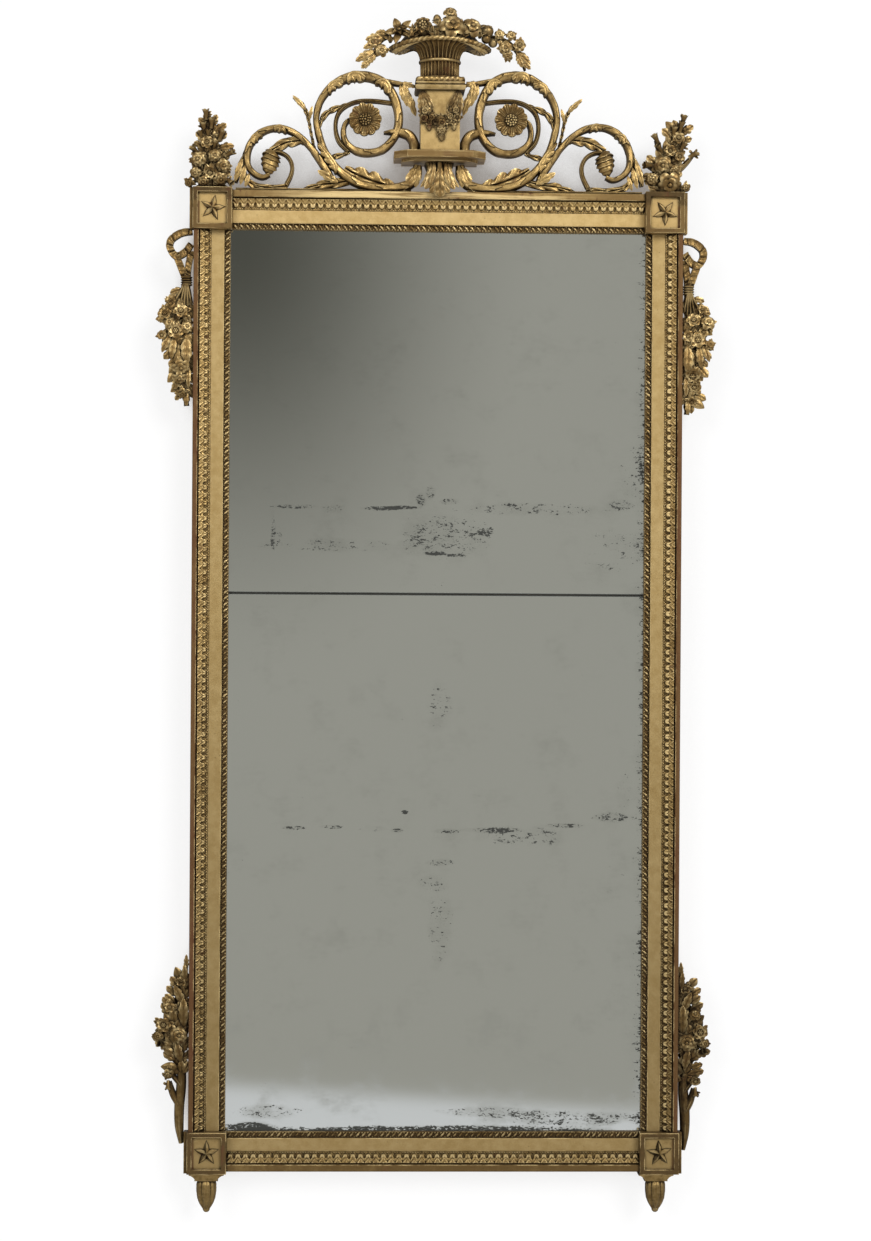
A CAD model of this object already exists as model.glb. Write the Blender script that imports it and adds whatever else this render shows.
"""Giltwood pier mirror: carves and gilds the frame's plain solids, silvers its plates and sets the stage."""
import math
import random

import bmesh
import bpy
import numpy as np
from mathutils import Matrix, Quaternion, Vector


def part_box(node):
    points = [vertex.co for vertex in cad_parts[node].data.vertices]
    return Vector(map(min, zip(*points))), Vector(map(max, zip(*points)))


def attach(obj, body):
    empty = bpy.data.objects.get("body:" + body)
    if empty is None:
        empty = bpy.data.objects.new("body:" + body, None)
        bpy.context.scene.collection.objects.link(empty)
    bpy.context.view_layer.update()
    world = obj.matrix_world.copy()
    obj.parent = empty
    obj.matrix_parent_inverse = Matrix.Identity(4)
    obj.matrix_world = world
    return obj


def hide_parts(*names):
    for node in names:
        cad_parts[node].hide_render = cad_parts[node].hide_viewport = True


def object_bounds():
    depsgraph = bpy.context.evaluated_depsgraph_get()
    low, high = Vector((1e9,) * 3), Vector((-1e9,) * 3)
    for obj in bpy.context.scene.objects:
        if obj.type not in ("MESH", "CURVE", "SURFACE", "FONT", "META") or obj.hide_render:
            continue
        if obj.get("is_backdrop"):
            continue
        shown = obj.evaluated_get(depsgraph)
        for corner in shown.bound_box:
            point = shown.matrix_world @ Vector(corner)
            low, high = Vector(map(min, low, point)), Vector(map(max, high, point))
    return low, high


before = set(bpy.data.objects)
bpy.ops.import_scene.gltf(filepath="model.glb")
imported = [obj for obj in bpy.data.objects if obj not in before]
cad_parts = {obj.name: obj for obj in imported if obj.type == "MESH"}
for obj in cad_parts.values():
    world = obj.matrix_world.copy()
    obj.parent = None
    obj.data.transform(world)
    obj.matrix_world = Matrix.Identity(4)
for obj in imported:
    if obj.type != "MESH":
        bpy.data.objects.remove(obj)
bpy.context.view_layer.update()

bl_info = {
    "name": "Giltwood pier mirror",
    "version": (1, 0, 0),
    "blender": (4, 5, 0),
    "location": "View3D > Sidebar > Mirror",
    "description": "Carves, gilds and silvers a pier mirror over its jointed frame",
    "category": "Object",
}

MM = 0.001
FRONT = np.array((0.0, -1.0, 0.0))
UP = np.array((0.0, 0.0, 1.0))
RIGHT = np.array((1.0, 0.0, 0.0))
SIDES = {"left": -1, "right": 1}
RUNS = ("left", "right", "top", "bottom")

# Places of the carved work, in millimetres
BLOCK_MIDDLE = 416.0
FOOT_MIDDLE = {"left": -416.0, "right": 410.0}
FOOT_AXIS = -64.0
BASKET_AXIS = -46.0
PANEL_BED = -74.0
CREST_BACK = -48.0
SPRAY_FRONT = -70.0

# Depths of the flat work, and the joint between the plates, in metres
FRIEZE_FACE, PANEL_FACE, RIM_FACE, BLOCK_FACE, PEDESTAL_FACE = -0.064, -0.074, -0.0735, -0.082, -0.090
SEAM = -0.681


def measure(node):
    """Lowest and highest corner of a frame node, in millimetres."""
    low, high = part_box(node)
    return np.array(low) / MM, np.array(high) / MM


# Carver's kit


def unit(v):
    v = np.asarray(v, float)
    return v / np.linalg.norm(v)


def square_to(axis):
    """Two unit vectors square to an axis and to each other."""
    a = unit(np.cross(axis, UP if abs(axis[2]) < 0.9 else FRONT))
    return a, np.cross(axis, a)


def full_turn(count):
    """Even steps once round a circle."""
    return np.linspace(0, 2 * math.pi, count, endpoint=False)


def round_about(radius, turn, a, b):
    """Steps away from an axis, round the plane of a and b."""
    return (radius * np.cos(turn))[..., None] * a + (radius * np.sin(turn))[..., None] * b


def points_at(x, y, z):
    """Points from their coordinates, any of which may be shared."""
    return np.stack(np.broadcast_arrays(x, y, z), axis=-1)


def part_of(x):
    return x - np.floor(x)


def dip(x, middle, width):
    """A soft bump of height 1 round the middle."""
    return np.exp(-((x - middle) / width) ** 2)


class Carving:
    """The surfaces of one carved piece, gathered in millimetres."""

    def __init__(self, seed=1):
        self.points, self.faces, self.count = [], [], 0
        self.chance = random.Random(seed)

    def sheet(self, grid, around=False):
        """A grid of points in rows; around joins each row's end to its start."""
        rows, columns = grid.shape[:2]
        index = np.arange(rows * columns).reshape(rows, columns) + self.count
        if around:
            index = np.hstack([index, index[:, :1]])
        quads = np.stack([index[:-1, :-1], index[1:, :-1], index[1:, 1:], index[:-1, 1:]], axis=-1)
        self.points.append(grid.reshape(-1, 3))
        self.faces += quads.reshape(-1, 4).tolist()
        self.count += rows * columns
        return index

    def rod(self, rows):
        """Rows that are closed loops, with both ends closed."""
        index = self.sheet(np.stack(rows), around=True)
        self.faces.append(index[0, :-1].tolist())
        self.faces.append(index[-1, -2::-1].tolist())

    def backed(self, face, back):
        """A carved face with a flat back at one depth."""
        rear = face[:, [-1, 0]].copy()
        rear[..., 1] = back
        self.rod(np.concatenate([face, rear], axis=1))

    def piece(self, name, finish, nodes=(), hand=1, sharp=50):
        """The finished piece on the frame body; hand -1 turns right-hand work into left."""
        points = np.vstack(self.points) * MM
        points[:, 0] *= hand
        mesh = bpy.data.meshes.new(name)
        mesh.from_pydata(points.tolist(), [], self.faces)
        work = bmesh.new()
        work.from_mesh(mesh)
        bmesh.ops.remove_doubles(work, verts=work.verts, dist=1e-6)
        bmesh.ops.recalc_face_normals(work, faces=work.faces)
        work.to_mesh(mesh)
        work.free()
        mesh.validate()
        mesh.shade_smooth()
        mesh.set_sharp_from_angle(angle=math.radians(sharp))
        mesh.materials.append(finish)
        made = bpy.data.objects.new(name, mesh)
        bpy.context.scene.collection.objects.link(made)
        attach(made, "frame")
        if nodes:
            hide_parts(*nodes)

    def replace(self, node, finish, hand=1, sharp=50):
        """The finished piece in place of a plain node."""
        self.piece(f"{node}_carved", finish, [node], hand, sharp)


def flowing(points, step):
    """A smooth line through the points at even steps, and the distance along it; widths come along."""
    p = np.asarray(points, float)
    ends = np.vstack([2 * p[0] - p[1], p, 2 * p[-1] - p[-2]])
    t = np.linspace(0, 1, 12, endpoint=False)[:, None]
    spans = [0.5 * (2 * b + (c - a) * t + (2 * a - 5 * b + 4 * c - d) * t ** 2
                    + (3 * b - a - 3 * c + d) * t ** 3)
             for a, b, c, d in zip(ends, ends[1:], ends[2:], ends[3:])]
    line = np.vstack(spans + [p[-1:]])
    s = distance_along(line[:, :2])
    at = np.linspace(0, s[-1], max(3, int(s[-1] / step) + 1))
    return np.column_stack([np.interp(at, s, column) for column in line.T]), at


def distance_along(line):
    return np.concatenate([[0], np.cumsum(np.linalg.norm(np.diff(line, axis=0), axis=1))])


def sideways(path):
    """Unit vectors along and across a line in the plane of the frame."""
    run = np.gradient(path[:, :2], axis=0)
    run /= np.linalg.norm(run, axis=1, keepdims=True)
    return run, np.column_stack([-run[:, 1], run[:, 0]])


def band(carving, line, back, front, relief, step=3.0, columns=13):
    """A carved band along (x, z, width); relief gives its edge and its rise from back to front."""
    path, s = flowing(line, step)
    side = sideways(path)[1]
    t = np.linspace(-1, 1, columns)[None, :]
    edge, rise = relief(s[:, None], t)
    half = path[:, 2:3] / 2 * edge * t
    x, z = path[:, 0:1] + side[:, 0:1] * half, path[:, 1:2] + side[:, 1:2] * half
    carving.backed(points_at(x, back + (front - back) * rise, z), back)


# Reliefs: s runs along a band in millimetres, t across it from -1 to 1


def rounded(s, t):
    return 1.0, 0.35 + 0.65 * np.sqrt(np.maximum(0, 1 - 0.92 * t * t))


def grooved(s, t):
    """A stem with two long flutes down its face."""
    return 1.0, 0.4 + 0.6 * np.sqrt(1 - 0.9 * t * t) - 0.11 * (dip(t, -0.34, 0.14) + dip(t, 0.4, 0.14))


def fluted(s, t):
    """A flat console face cut with five flutes."""
    return 1.0, 0.9 + 0.06 * np.cos(5 * math.pi * t)


def ribbon(s, t):
    """A gathered ribbon: thick hems and creases across it."""
    crease = dip(part_of(s / 15.0 + 0.15 * t + 0.13 * np.sin(s / 9)), 0.5, 0.09)
    fine = np.cos(s / 1.1 + 2 * t)
    return 1.0 - 0.04 * crease, 0.80 + 0.10 * np.abs(t) ** 3 - 0.12 * crease + 0.02 * fine


def sheathed(pitch, lobe=0.12):
    """A flat-faced stem with rolled edges, in long sheaths that lap over one another."""
    def relief(s, t):
        f = part_of(s / pitch - 0.22 * t - 0.08 * np.sin(5 * t))
        e = part_of(s / pitch - 0.5)
        return 0.97 + lobe * e ** 2.5 * (1 - e ** 16), 0.44 + 0.42 * (1 - np.abs(t) ** 4.6) + 0.11 * f ** 3.0
    return relief


def lapped(pitch, hand, depth):
    """A leaf wrapped over a stem: lobes along one edge, with a vein cut back from each notch."""
    def relief(s, t):
        lobe = part_of(s / pitch - 0.42 * hand * t)
        tooth = np.sin(math.pi * part_of(s / pitch - 0.42) ** 1.5) ** 0.55
        edge = np.where(hand * t >= 0, 1 - depth * (1 - tooth), 1.0)
        vein = dip(lobe, 0.02, 0.07) + dip(lobe, 0.98, 0.07)
        outer = np.clip(0.35 + 0.65 * hand * t, 0, 1)
        rise = 0.90 + 0.10 * np.sqrt(1 - 0.9 * t * t) - 0.10 * vein * outer - 0.05 * dip(t, -0.4 * hand, 0.1)
        return edge, rise
    return relief


def toothed(pitch, hand=0, depth=0.42):
    """An acanthus leaf with hollow veins slanting to its teeth; hand picks one toothed edge, 0 gives both."""
    def relief(s, t):
        swell = np.sin(math.pi * part_of(s / pitch - 0.5 * np.abs(t))) ** 0.8
        tooth = np.sin(math.pi * part_of(s / pitch - 0.5) ** 1.6) ** 0.55
        edge = np.where(hand * t >= 0, 1 - depth * (1 - tooth), 0.92)
        rise = 0.50 + 0.22 * (1 - np.abs(t) ** 1.4) + 0.28 * swell * np.abs(t) ** 0.6 - 0.15 * dip(t, 0, 0.1)
        return edge, rise
    return relief


def tangled(seed):
    """The rough ground of leaves that a spray's flowers stand on."""
    def relief(s, t):
        a = np.sin(s * 0.31 + 4.1 * t + seed) * np.cos(s * 0.17 - 6.3 * t + 2 * seed)
        b = np.sin(s * 0.53 - 7.7 * t + 3 * seed)
        return 0.86 + 0.12 * np.sin(s * 0.42 + seed), 0.42 + 0.13 * a + 0.07 * b + 0.12 * (1 - t * t)
    return relief


# Leaves and flowers


def blade(carving, root, tip, width, face=FRONT, lobes=0, arch=4.0, curl=0.0, bend=0.0, cup=-2.0, thick=3.0,
          stalk=0.0, blunt=0.75, spread=0.8, rows=15, columns=9):
    """A leaf or petal from root to tip, looking along face.

    Stalk widens its root, and spread moves its widest part out.
    """
    root, tip = np.asarray(root, float), np.asarray(tip, float)
    length = np.linalg.norm(tip - root)
    along = (tip - root) / length
    across = unit(np.cross(face, along))
    out = np.cross(along, across)
    u = (1 - np.cos(np.linspace(0, math.pi, rows)))[:, None] / 2
    t = np.linspace(-1, 1, columns)[None, :]
    bow = 4 * u * (1 - u)
    profile = np.maximum(np.sin(math.pi * (stalk * 0.3 + (1 - stalk * 0.3) * u) ** spread) ** blunt, 0)
    ridge = forward = 0.0
    if lobes:
        profile = profile * (0.68 + 0.32 * np.abs(np.sin(math.pi * lobes * u ** 0.9)) ** 0.7)
        ridge = 0.11 * width * np.abs(np.sin(math.pi * lobes * (u - 0.10 * np.abs(t)))) * np.abs(t) ** 0.7
        forward = 0.175 * width * t * t * profile
    rise = arch * bow + curl * u ** 3 + cup * t * t * profile + ridge * profile
    rise = rise - 0.05 * width * dip(t, 0, 0.17) * np.sin(math.pi * u)
    lay = length * u + forward
    off = width / 2 * profile * t + bend * bow
    top = root + lay[..., None] * along + off[..., None] * across + rise[..., None] * out
    carving.sheet(top)
    carving.sheet(top - (thick * (1 - t * t) * (1 - (2 * u - 1) ** 8))[..., None] * out)


def orb(carving, place, radius, axis=FRONT, stretch=1.0, ribs=0, twist=0.0, depth=0.12, rows=7, columns=10):
    """A bead, berry or bud about an axis; ribs and twist roll petals round it."""
    axis = unit(axis)
    if ribs:
        rows, columns = max(rows, 11), max(columns, ribs * 4)
    v = np.linspace(0.02, math.pi - 0.02, rows)[:, None]
    w = full_turn(columns)[None, :]
    r = radius
    if ribs:
        f = part_of(ribs * w / (2 * math.pi) + twist * v)
        r = r * (1 - depth + depth * 1.6 * f ** 0.7 * (1 - f ** 6))
    lay = stretch * radius * np.cos(v)
    ring = round_about(r * np.sin(v), w, *square_to(axis))
    carving.rod(np.asarray(place, float) + lay[..., None] * axis + ring)


def whorl(carving, place, face, count, inner, outer, low, high, width, start=0.0, **leaf):
    """A ring of petals about a flower's face."""
    face = unit(face)
    a, b = square_to(face)
    for i in range(count):
        turn = 2 * math.pi * (i + start) / count
        ray = math.cos(turn) * a + math.sin(turn) * b
        blade(carving, place + ray * inner + face * low, place + ray * outer + face * high, width,
              face=unit(face * (outer - inner) - ray * (high - low)), **leaf)


def rose(carving, place, radius, face=FRONT):
    """A full rose: a ball of petals lapped outwards round a rolled heart."""
    place, r, face = np.asarray(place, float), radius, unit(face)
    start = carving.chance.random()
    orb(carving, place, 0.72 * r, face, 0.9, rows=9, columns=14)
    petal = dict(stalk=0.9, blunt=0.36, arch=0.22 * r, curl=0.18 * r, cup=-0.06 * r, thick=0.1 * r,
                 rows=8, columns=7)
    whorl(carving, place, face, 5, 0.40 * r, 1.02 * r, 0.56 * r, 0.02 * r, 1.02 * r, start, **petal)
    whorl(carving, place, face, 4, 0.15 * r, 0.66 * r, 0.80 * r, 0.58 * r, 0.80 * r, start + 0.4, **petal)
    orb(carving, place + face * 0.74 * r, 0.28 * r, face, 1.0, ribs=4, twist=0.6, depth=0.3)


def daisy(carving, place, radius, face=FRONT, petals=6, seeds=6):
    """A flat flower: a ring of round petals about a cluster of seeds."""
    place, r, face = np.asarray(place, float), radius, unit(face)
    start = carving.chance.random()
    whorl(carving, place, face, petals, 0.1 * r, 1.02 * r, 0.14 * r, 0.30 * r, 6.4 * r / petals, start,
          arch=0.16 * r, curl=-0.05 * r, stalk=0.6, blunt=0.45, cup=0.1 * r, thick=0.16 * r,
          rows=9, columns=7)
    a, b = square_to(face)
    for turn in full_turn(seeds):
        seed = 0.22 * r * (math.cos(turn) * a + math.sin(turn) * b) + 0.34 * r * face
        orb(carving, place + seed, 0.13 * r, face, rows=5, columns=6)
    orb(carving, place + 0.40 * r * face, 0.16 * r, face, rows=5, columns=7)


def closed_bud(carving, place, radius, way, length=1.5):
    """A bud that points along way, with its petals rolled round it and two sepals."""
    place, way = np.asarray(place, float), unit(way)
    orb(carving, place, radius, way, length, ribs=4, twist=0.7, depth=0.22)
    side = unit(np.cross(way, FRONT))
    for hand in (-0.75, 0.75):
        tip = place + side * hand * radius * 1.25 + way * radius * 0.5 + FRONT * 2
        blade(carving, place - way * radius * length, tip, radius, arch=0.3 * radius, thick=2.0,
              rows=8, columns=5)


# The wall of a trumpet, out along its tube and back inside: (share of its length, share of its width)
TRUMPET_WALL = ((0, 1), (0.15, 1), (0.35, 1), (0.55, 1), (0.72, 1), (0.86, 1), (1, 1),
                (0.97, 0.86), (0.7, 0.8), (0.4, 0.5))


def trumpet(carving, place, radius, way):
    """A bell-shaped flower that opens along way, with its lip cut into five lobes."""
    way = unit(way)
    a = unit(np.cross(way, FRONT))
    w = full_turn(40)
    notch = 1 - np.abs(np.cos(2.5 * w)) ** 0.5
    rows = []
    for v, inner in TRUMPET_WALL:
        r = radius * inner * (0.44 + 0.46 * v ** 2.2 - 0.12 * notch * v ** 3)
        lay = radius * (2.5 * v - 1.25 - 0.35 * notch * v ** 4)
        rows.append(place + lay[..., None] * way + round_about(r, w, a, np.cross(way, a)))
    carving.rod(rows)


def flower(carving, place, radius, way):
    """A flower head of the size given, turned a little outwards along way."""
    face = unit(FRONT + 0.35 * np.asarray(way))
    pick = carving.chance.random()
    if radius < 8.5:
        trumpet(carving, place, radius, way + 0.45 * FRONT + 0.55 * UP)
    elif pick < 0.45 or radius > 18:
        rose(carving, place, radius, face)
    else:
        daisy(carving, place, radius, face, petals=5 if radius < 11 else 6)


def leaf_on(carving, x0, z0, x1, z1, width, y, lobes=3, arch=5.0, curl=2.0):
    """A leaf laid over the work from one point of the front plane to another."""
    blade(carving, (x0, y, z0), (x1, y - 1.5, z1), width, lobes=lobes, arch=arch, curl=curl,
          cup=-0.16 * width, thick=min(6.0, 0.3 * width), rows=8 + 5 * max(1, lobes), columns=9)


def leaf_out(carving, x, z, turn, reach, width, y, **shape):
    """A leaf laid out from a point at the turn given."""
    leaf_on(carving, x, z, x + math.cos(turn) * reach, z + math.sin(turn) * reach, width, y, **shape)


def clothe(carving, line, y, spacing=13.0):
    """Broad leaves set along a wide stem, fanned out from its middle and lapped over one another."""
    path = flowing(line, spacing)[0]
    draw = carving.chance.uniform
    for (x, z, width), (rx, rz) in zip(path, sideways(path)[0]):
        if width < 15:
            continue
        for share in (-0.38, 0.05, 0.38):
            share += draw(-0.1, 0.1)
            turn = -share * 2.4 + draw(-0.35, 0.35)
            c, s = math.cos(turn), math.sin(turn)
            dx, dz = rx * c + rz * s, rz * c - rx * s
            reach = draw(22, 33)
            x0, z0 = x - rz * share * width * 0.5, z + rx * share * width * 0.5
            leaf_on(carving, x0, z0, x0 + dx * reach, z0 + dz * reach, reach * 0.62, y + draw(-3, 2),
                    lobes=carving.chance.choice((0, 2, 3)), arch=draw(2, 5), curl=draw(-2, 2))


# Crest: points hold (distance from the middle, height above the frame, width) for the right-hand side, leaves
# hold two places and a width, and wraps hold (start, end, hand) in shares of their stem

STEM = ((38, 50, 16), (41, 32, 20), (52, 16, 19), (76, 9, 16), (108, 8, 15), (138, 14, 16), (163, 28, 16),
        (186, 50, 15), (203, 78, 14), (213, 110, 13), (217, 138, 12), (210, 168, 13), (192, 194, 15),
        (166, 211, 18), (138, 216, 19), (110, 210, 18), (88, 191, 17), (75, 160, 17), (72, 130, 16),
        (80, 102, 15), (100, 80, 15), (126, 73, 15), (149, 78, 14), (165, 93, 12), (169, 114, 10),
        (162, 131, 9), (140, 138, 8))
RING = ((80, 166, 8), (114, 170, 8), (143, 169, 8), (165, 160, 8), (179, 144, 8), (183, 120, 8), (177, 95, 9),
        (160, 76, 9))
INNER_LEAF = ((163, 162, 7), (184, 155, 10), (202, 143, 11), (214, 118, 8))
CAP_LINK = ((112, 209, 12), (86, 205, 11), (66, 202, 9), (49, 202, 8))
TAIL_LEAF = ((158, 75, 6), (178, 67, 10), (200, 65, 4))
HORN = ((46, 72, 18), (47, 90, 19), (55, 104, 19), (69, 110, 17), (86, 111, 12), (103, 109, 4))
RAIL_LEAF = ((160, 22, 14), (190, 16, 18), (222, 12, 14), (250, 4, 5))
BASE_LEAF = ((60, 6, 8), (84, 10, 20), (108, 17, 32), (132, 26, 36), (152, 35, 26), (166, 44, 8))
STEM_WRAPS = ((0.24, 0.33, -1), (0.455, 0.515, 1), (0.515, 0.575, 1), (0.60, 0.66, 1))
SCROLL_LEAVES = ((62, 206, 58, 158, 16), (60, 190, 42, 140, 16), (66, 203, 42, 194, 11),
                 (70, 198, 64, 168, 11), (36, 50, 42, 8, 17), (42, 48, 60, 5, 18), (178, 16, 214, 38, 17))
ROSETTE_PLACE = (131, 132)
WING_STEM = ((184, 24, 12), (196, 44, 15), (210, 65, 14), (225, 85, 12), (244, 104, 12), (265, 118, 13),
             (288, 124, 13), (310, 122, 13), (331, 111, 14), (347, 91, 14), (353, 69, 13), (350, 48, 12),
             (337, 33, 11), (321, 27, 10), (308, 32, 8))
WING_RING = ((306, 77, 8), (289, 77, 8), (273, 69, 8), (264, 53, 8), (265, 34, 8), (275, 12, 9))
WING_LEAF = ((232, 97, 8), (256, 99, 17), (282, 93, 20), (306, 79, 12))
WING_CURL = ((353, 72, 10), (360, 50, 10), (358, 30, 12), (344, 14, 12), (318, 7, 12), (290, 8, 10),
             (272, 10, 8))
WING_CORNER = ((354, 80, 8), (363, 58, 10), (371, 36, 10), (375, 16, 8))
SPRIG = ((219, 78, 6), (226, 107, 6), (232, 135, 7), (240, 154, 8), (250, 165, 8), (262, 173, 4))
WING_LEAVES = ((362, 62, 377, 16, 13), (356, 50, 366, 10, 12), (348, 34, 356, 6, 10), (230, 130, 224, 156, 8),
               (236, 148, 263, 175, 10))
WING_WRAPS = ((0.42, 0.54, -1), (0.60, 0.72, -1))
BUD_PLACE = (307, 55)
# How each side differs from the drawing: (spread, shift, share of the height)
AS_DRAWN = (1.0, 0.0, 1.0)
CUT = {"right": {"scroll": AS_DRAWN, "wing": AS_DRAWN, "sprig": AS_DRAWN},
       "left": {"scroll": (1.05, 0.0, 0.988), "wing": (0.927, 27.5, 0.93), "sprig": (0.927, 27.5, 1.0)}}
# The drawing's half pedestal and reach to the corner block, and the starts of the wing and the sprig's leaves
DRAWN_HALF, DRAWN_SPAN = 36.0, 345.0
WING_START, SPRIG_FOOT = 255, 126


class Crest:
    """Where one side's crest points fall between the pedestal and a corner block, in millimetres."""

    def __init__(self, carving, cut):
        self.carving, self.cut = carving, cut
        self.half = measure("pedestal")[1][0]
        self.z = measure("moulding_top")[1][2]
        self.stretch = (measure("corner_block_top_right")[0][0] - self.half) / DRAWN_SPAN
        self.stem = measure("crest_scroll_right")[0][1]
        self.ring = self.stem + 6
        self.leaf = self.ring - 1

    def at(self, a, h, cut=None):
        spread, shift, height = cut or self.cut
        return self.half + (a * spread + shift - DRAWN_HALF) * self.stretch, self.z + h * height

    def line(self, points, cut=None):
        return [(*self.at(a, h, cut), width) for a, h, width in points]

    def band(self, points, front, relief, step, columns, cut=None):
        band(self.carving, self.line(points, cut), CREST_BACK, front, relief, step, columns)

    def wrap(self, points, spans):
        """Lobed leaves laid along a stem: each span is (start, end, hand) in shares of its length."""
        path, s = flowing(self.line(points), 4.0)
        for start, end, hand in spans:
            part = path[(s >= start * s[-1]) & (s <= end * s[-1])]
            side = sideways(part)[1]
            width = part[:, 2] * (0.2 + 0.85 * np.sin(math.pi * np.linspace(0, 1, len(part)) ** 0.75) ** 0.6)
            shift = hand * (0.66 * part[:, 2] - width / 2)
            laid = np.column_stack([part[:, 0] + side[:, 0] * shift, part[:, 1] + side[:, 1] * shift, width])
            band(self.carving, laid[::3], CREST_BACK, self.stem - 4, lapped(15, hand, 0.5), step=1.2)

    def foot_strip(self, start, end):
        """The narrow strip that a crest piece stands on."""
        x0, x1 = self.at(start, 0, AS_DRAWN)[0], self.at(end, 0, AS_DRAWN)[0]
        line = [(x, self.z + 3, 6) for x in (x0, (x0 + x1) / 2, x1)]
        band(self.carving, line, CREST_BACK, self.ring, rounded, step=12, columns=5)


def carve_scroll(name, settings, finish):
    """A large scroll: stem, ring and leaves, and the boss that its rosette sits on."""
    carving = Carving(11)
    crest = Crest(carving, CUT[name]["scroll"])
    crest.band(STEM, crest.stem - 3, sheathed(settings.sheath_pitch), 2.0, 21)
    crest.wrap(STEM, STEM_WRAPS)
    crest.band(RING, crest.ring, grooved, 3.0, 11)
    for line in (INNER_LEAF, TAIL_LEAF):
        crest.band(line, crest.leaf, toothed(23, 0, 0.34), 1.4, 15)
    crest.band(CAP_LINK, crest.leaf, sheathed(30), 2, 13)
    crest.band(RAIL_LEAF, crest.leaf, toothed(27, 1, 0.38), 1.6, 15, AS_DRAWN)
    crest.band(BASE_LEAF, crest.stem - 1, toothed(29, 1, 0.36), 1.6, 19)
    crest.band(HORN, crest.stem - 2, sheathed(40), 2, 15, AS_DRAWN)
    for a0, h0, a1, h1, width in SCROLL_LEAVES:
        (x0, z0), end = crest.at(a0, h0), crest.at(a1, h1)
        leaf_on(carving, x0, max(z0, crest.z + 1), *end, width, crest.stem + 3, arch=2.0, curl=-1.0)
    x, z = crest.at(*ROSETTE_PLACE)
    turn = full_turn(28)
    boss = ((14, CREST_BACK), (14, crest.stem + 4), (11, crest.stem), (4, crest.stem))
    carving.rod([points_at(x + r * np.cos(turn), y, z + r * np.sin(turn)) for r, y in boss])
    crest.foot_strip(STEM[2][0], WING_START)
    carving.replace(f"crest_scroll_{name}", finish, SIDES[name])


def carve_rosette(name, settings, finish):
    """A poppy head of crinkled petals with a raised boss of seeds."""
    carving = Carving(5)
    crest = Crest(carving, CUT[name]["scroll"])
    low, high = measure(f"rosette_{name}")
    x, z = crest.at(*ROSETTE_PLACE)
    turn = full_turn(120)[None, :]
    v = np.linspace(0, 1, 16)[:, None]
    f = part_of(settings.rosette_petals * turn / (2 * math.pi) + 0.12 * v)
    ruffle = np.abs(np.sin(math.pi * f)) ** 0.6
    fine = np.cos(3 * 2 * math.pi * f)
    radius = (high[2] - low[2]) / 2 * (0.16 + v * (0.84 + 0.12 * ruffle))
    rise = 4 + 9 * v ** 1.5 - 14 * np.maximum(0, v - 0.8) + 7.0 * (ruffle - 0.75) * v + 1.2 * fine * v
    top = points_at(x + radius * np.cos(turn), crest.stem - np.maximum(rise, 0.4), z + radius * np.sin(turn))
    rim = top[-1:].copy()
    rim[..., 1] = crest.stem + 1
    carving.rod(np.concatenate([top, rim]))
    for count, ring, up in ((11, 9.0, 9.5), (7, 5.4, 11), (1, 0, 12)):
        for a in full_turn(count):
            seed = (x + ring * math.cos(a), crest.stem - up, z + ring * math.sin(a))
            orb(carving, seed, 2.3, rows=6, columns=8)
    carving.replace(f"rosette_{name}", finish, SIDES[name])


def rolled_bud(carving, middle, radius, half):
    """A half-open bud: petals rolled round it in a spiral, one lip over the next."""
    axis = unit((0.22, -0.05, -1.0))
    a = unit(np.cross(axis, FRONT))
    v = np.linspace(0.0, 1.0, 70)[:, None]
    w = full_turn(44)[None, :]
    f = part_of(5.2 * v + w / (2 * math.pi) + 0.16 * np.sin(2 * w) + 0.05 * np.sin(5 * w))
    body = np.interp(v, (0, 0.07, 0.2, 0.45, 0.7, 0.88, 1), (0.3, 0.72, 0.98, 1.0, 0.82, 0.5, 0.14))
    r = radius * body * (0.80 + 0.27 * f ** 1.6 * (1 - f ** 16))
    lay = half * (2 * v - 1) + 3.0 * np.cos(w) * (1 - v)
    carving.rod(middle + lay[..., None] * axis + round_about(r, w, a, np.cross(axis, a)))


def carve_wing(name, settings, finish):
    """An outer scroll: stem, ring, leaves and sprig, round a rolled bud."""
    carving, sprig = Carving(17), CUT[name]["sprig"]
    crest = Crest(carving, CUT[name]["wing"])
    crest.band(WING_STEM, crest.stem - 3, sheathed(settings.sheath_pitch * 0.9), 2.0, 21)
    crest.wrap(WING_STEM, WING_WRAPS)
    crest.band(WING_RING, crest.ring, grooved, 3.0, 11)
    crest.band(WING_LEAF, crest.ring - 2, toothed(25, -1, 0.42), 1.4, 17)
    crest.band(WING_CURL, crest.leaf, toothed(30, 1, 0.25), 1.6, 15)
    crest.band(WING_CORNER, crest.leaf, toothed(24, 0, 0.3), 1.6, 13)
    crest.band(SPRIG, crest.leaf, toothed(14, 0, 0.34), 1.5, 13, sprig)
    for a0, h0, a1, h1, width in WING_LEAVES:
        cut = sprig if h0 > SPRIG_FOOT else crest.cut
        start, (x1, z1) = crest.at(a0, h0, cut), crest.at(a1, h1, cut)
        leaf_on(carving, *start, x1, max(z1, crest.z + 2), width, crest.leaf, arch=2.5, curl=-0.5)
    x, z = crest.at(*BUD_PLACE)
    rolled_bud(carving, np.array((x, (CREST_BACK + crest.stem) / 2 - 1, z)), 19, 23)
    crest.foot_strip(WING_START, WING_CORNER[-1][0])
    carving.replace(f"crest_wing_{name}", finish, SIDES[name])


# Running ornament on the mouldings


def run_frame(node):
    """Start, run and inward vectors, length, width, face and back of a strip, read from its node."""
    low, high = measure(node)
    x, _, z = high - low
    side = node.split("_")[-1]
    if side in SIDES:
        hand = SIDES[side]
        outer = high[0] if hand > 0 else low[0]
        return np.array((outer, 0, low[2])), UP, -hand * RIGHT, z, x, low[1], high[1]
    outer, inward = (high[2], -UP) if side == "top" else (low[2], UP)
    return np.array((low[0], 0, outer)), RIGHT, inward, x, z, low[1], high[1]


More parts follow.
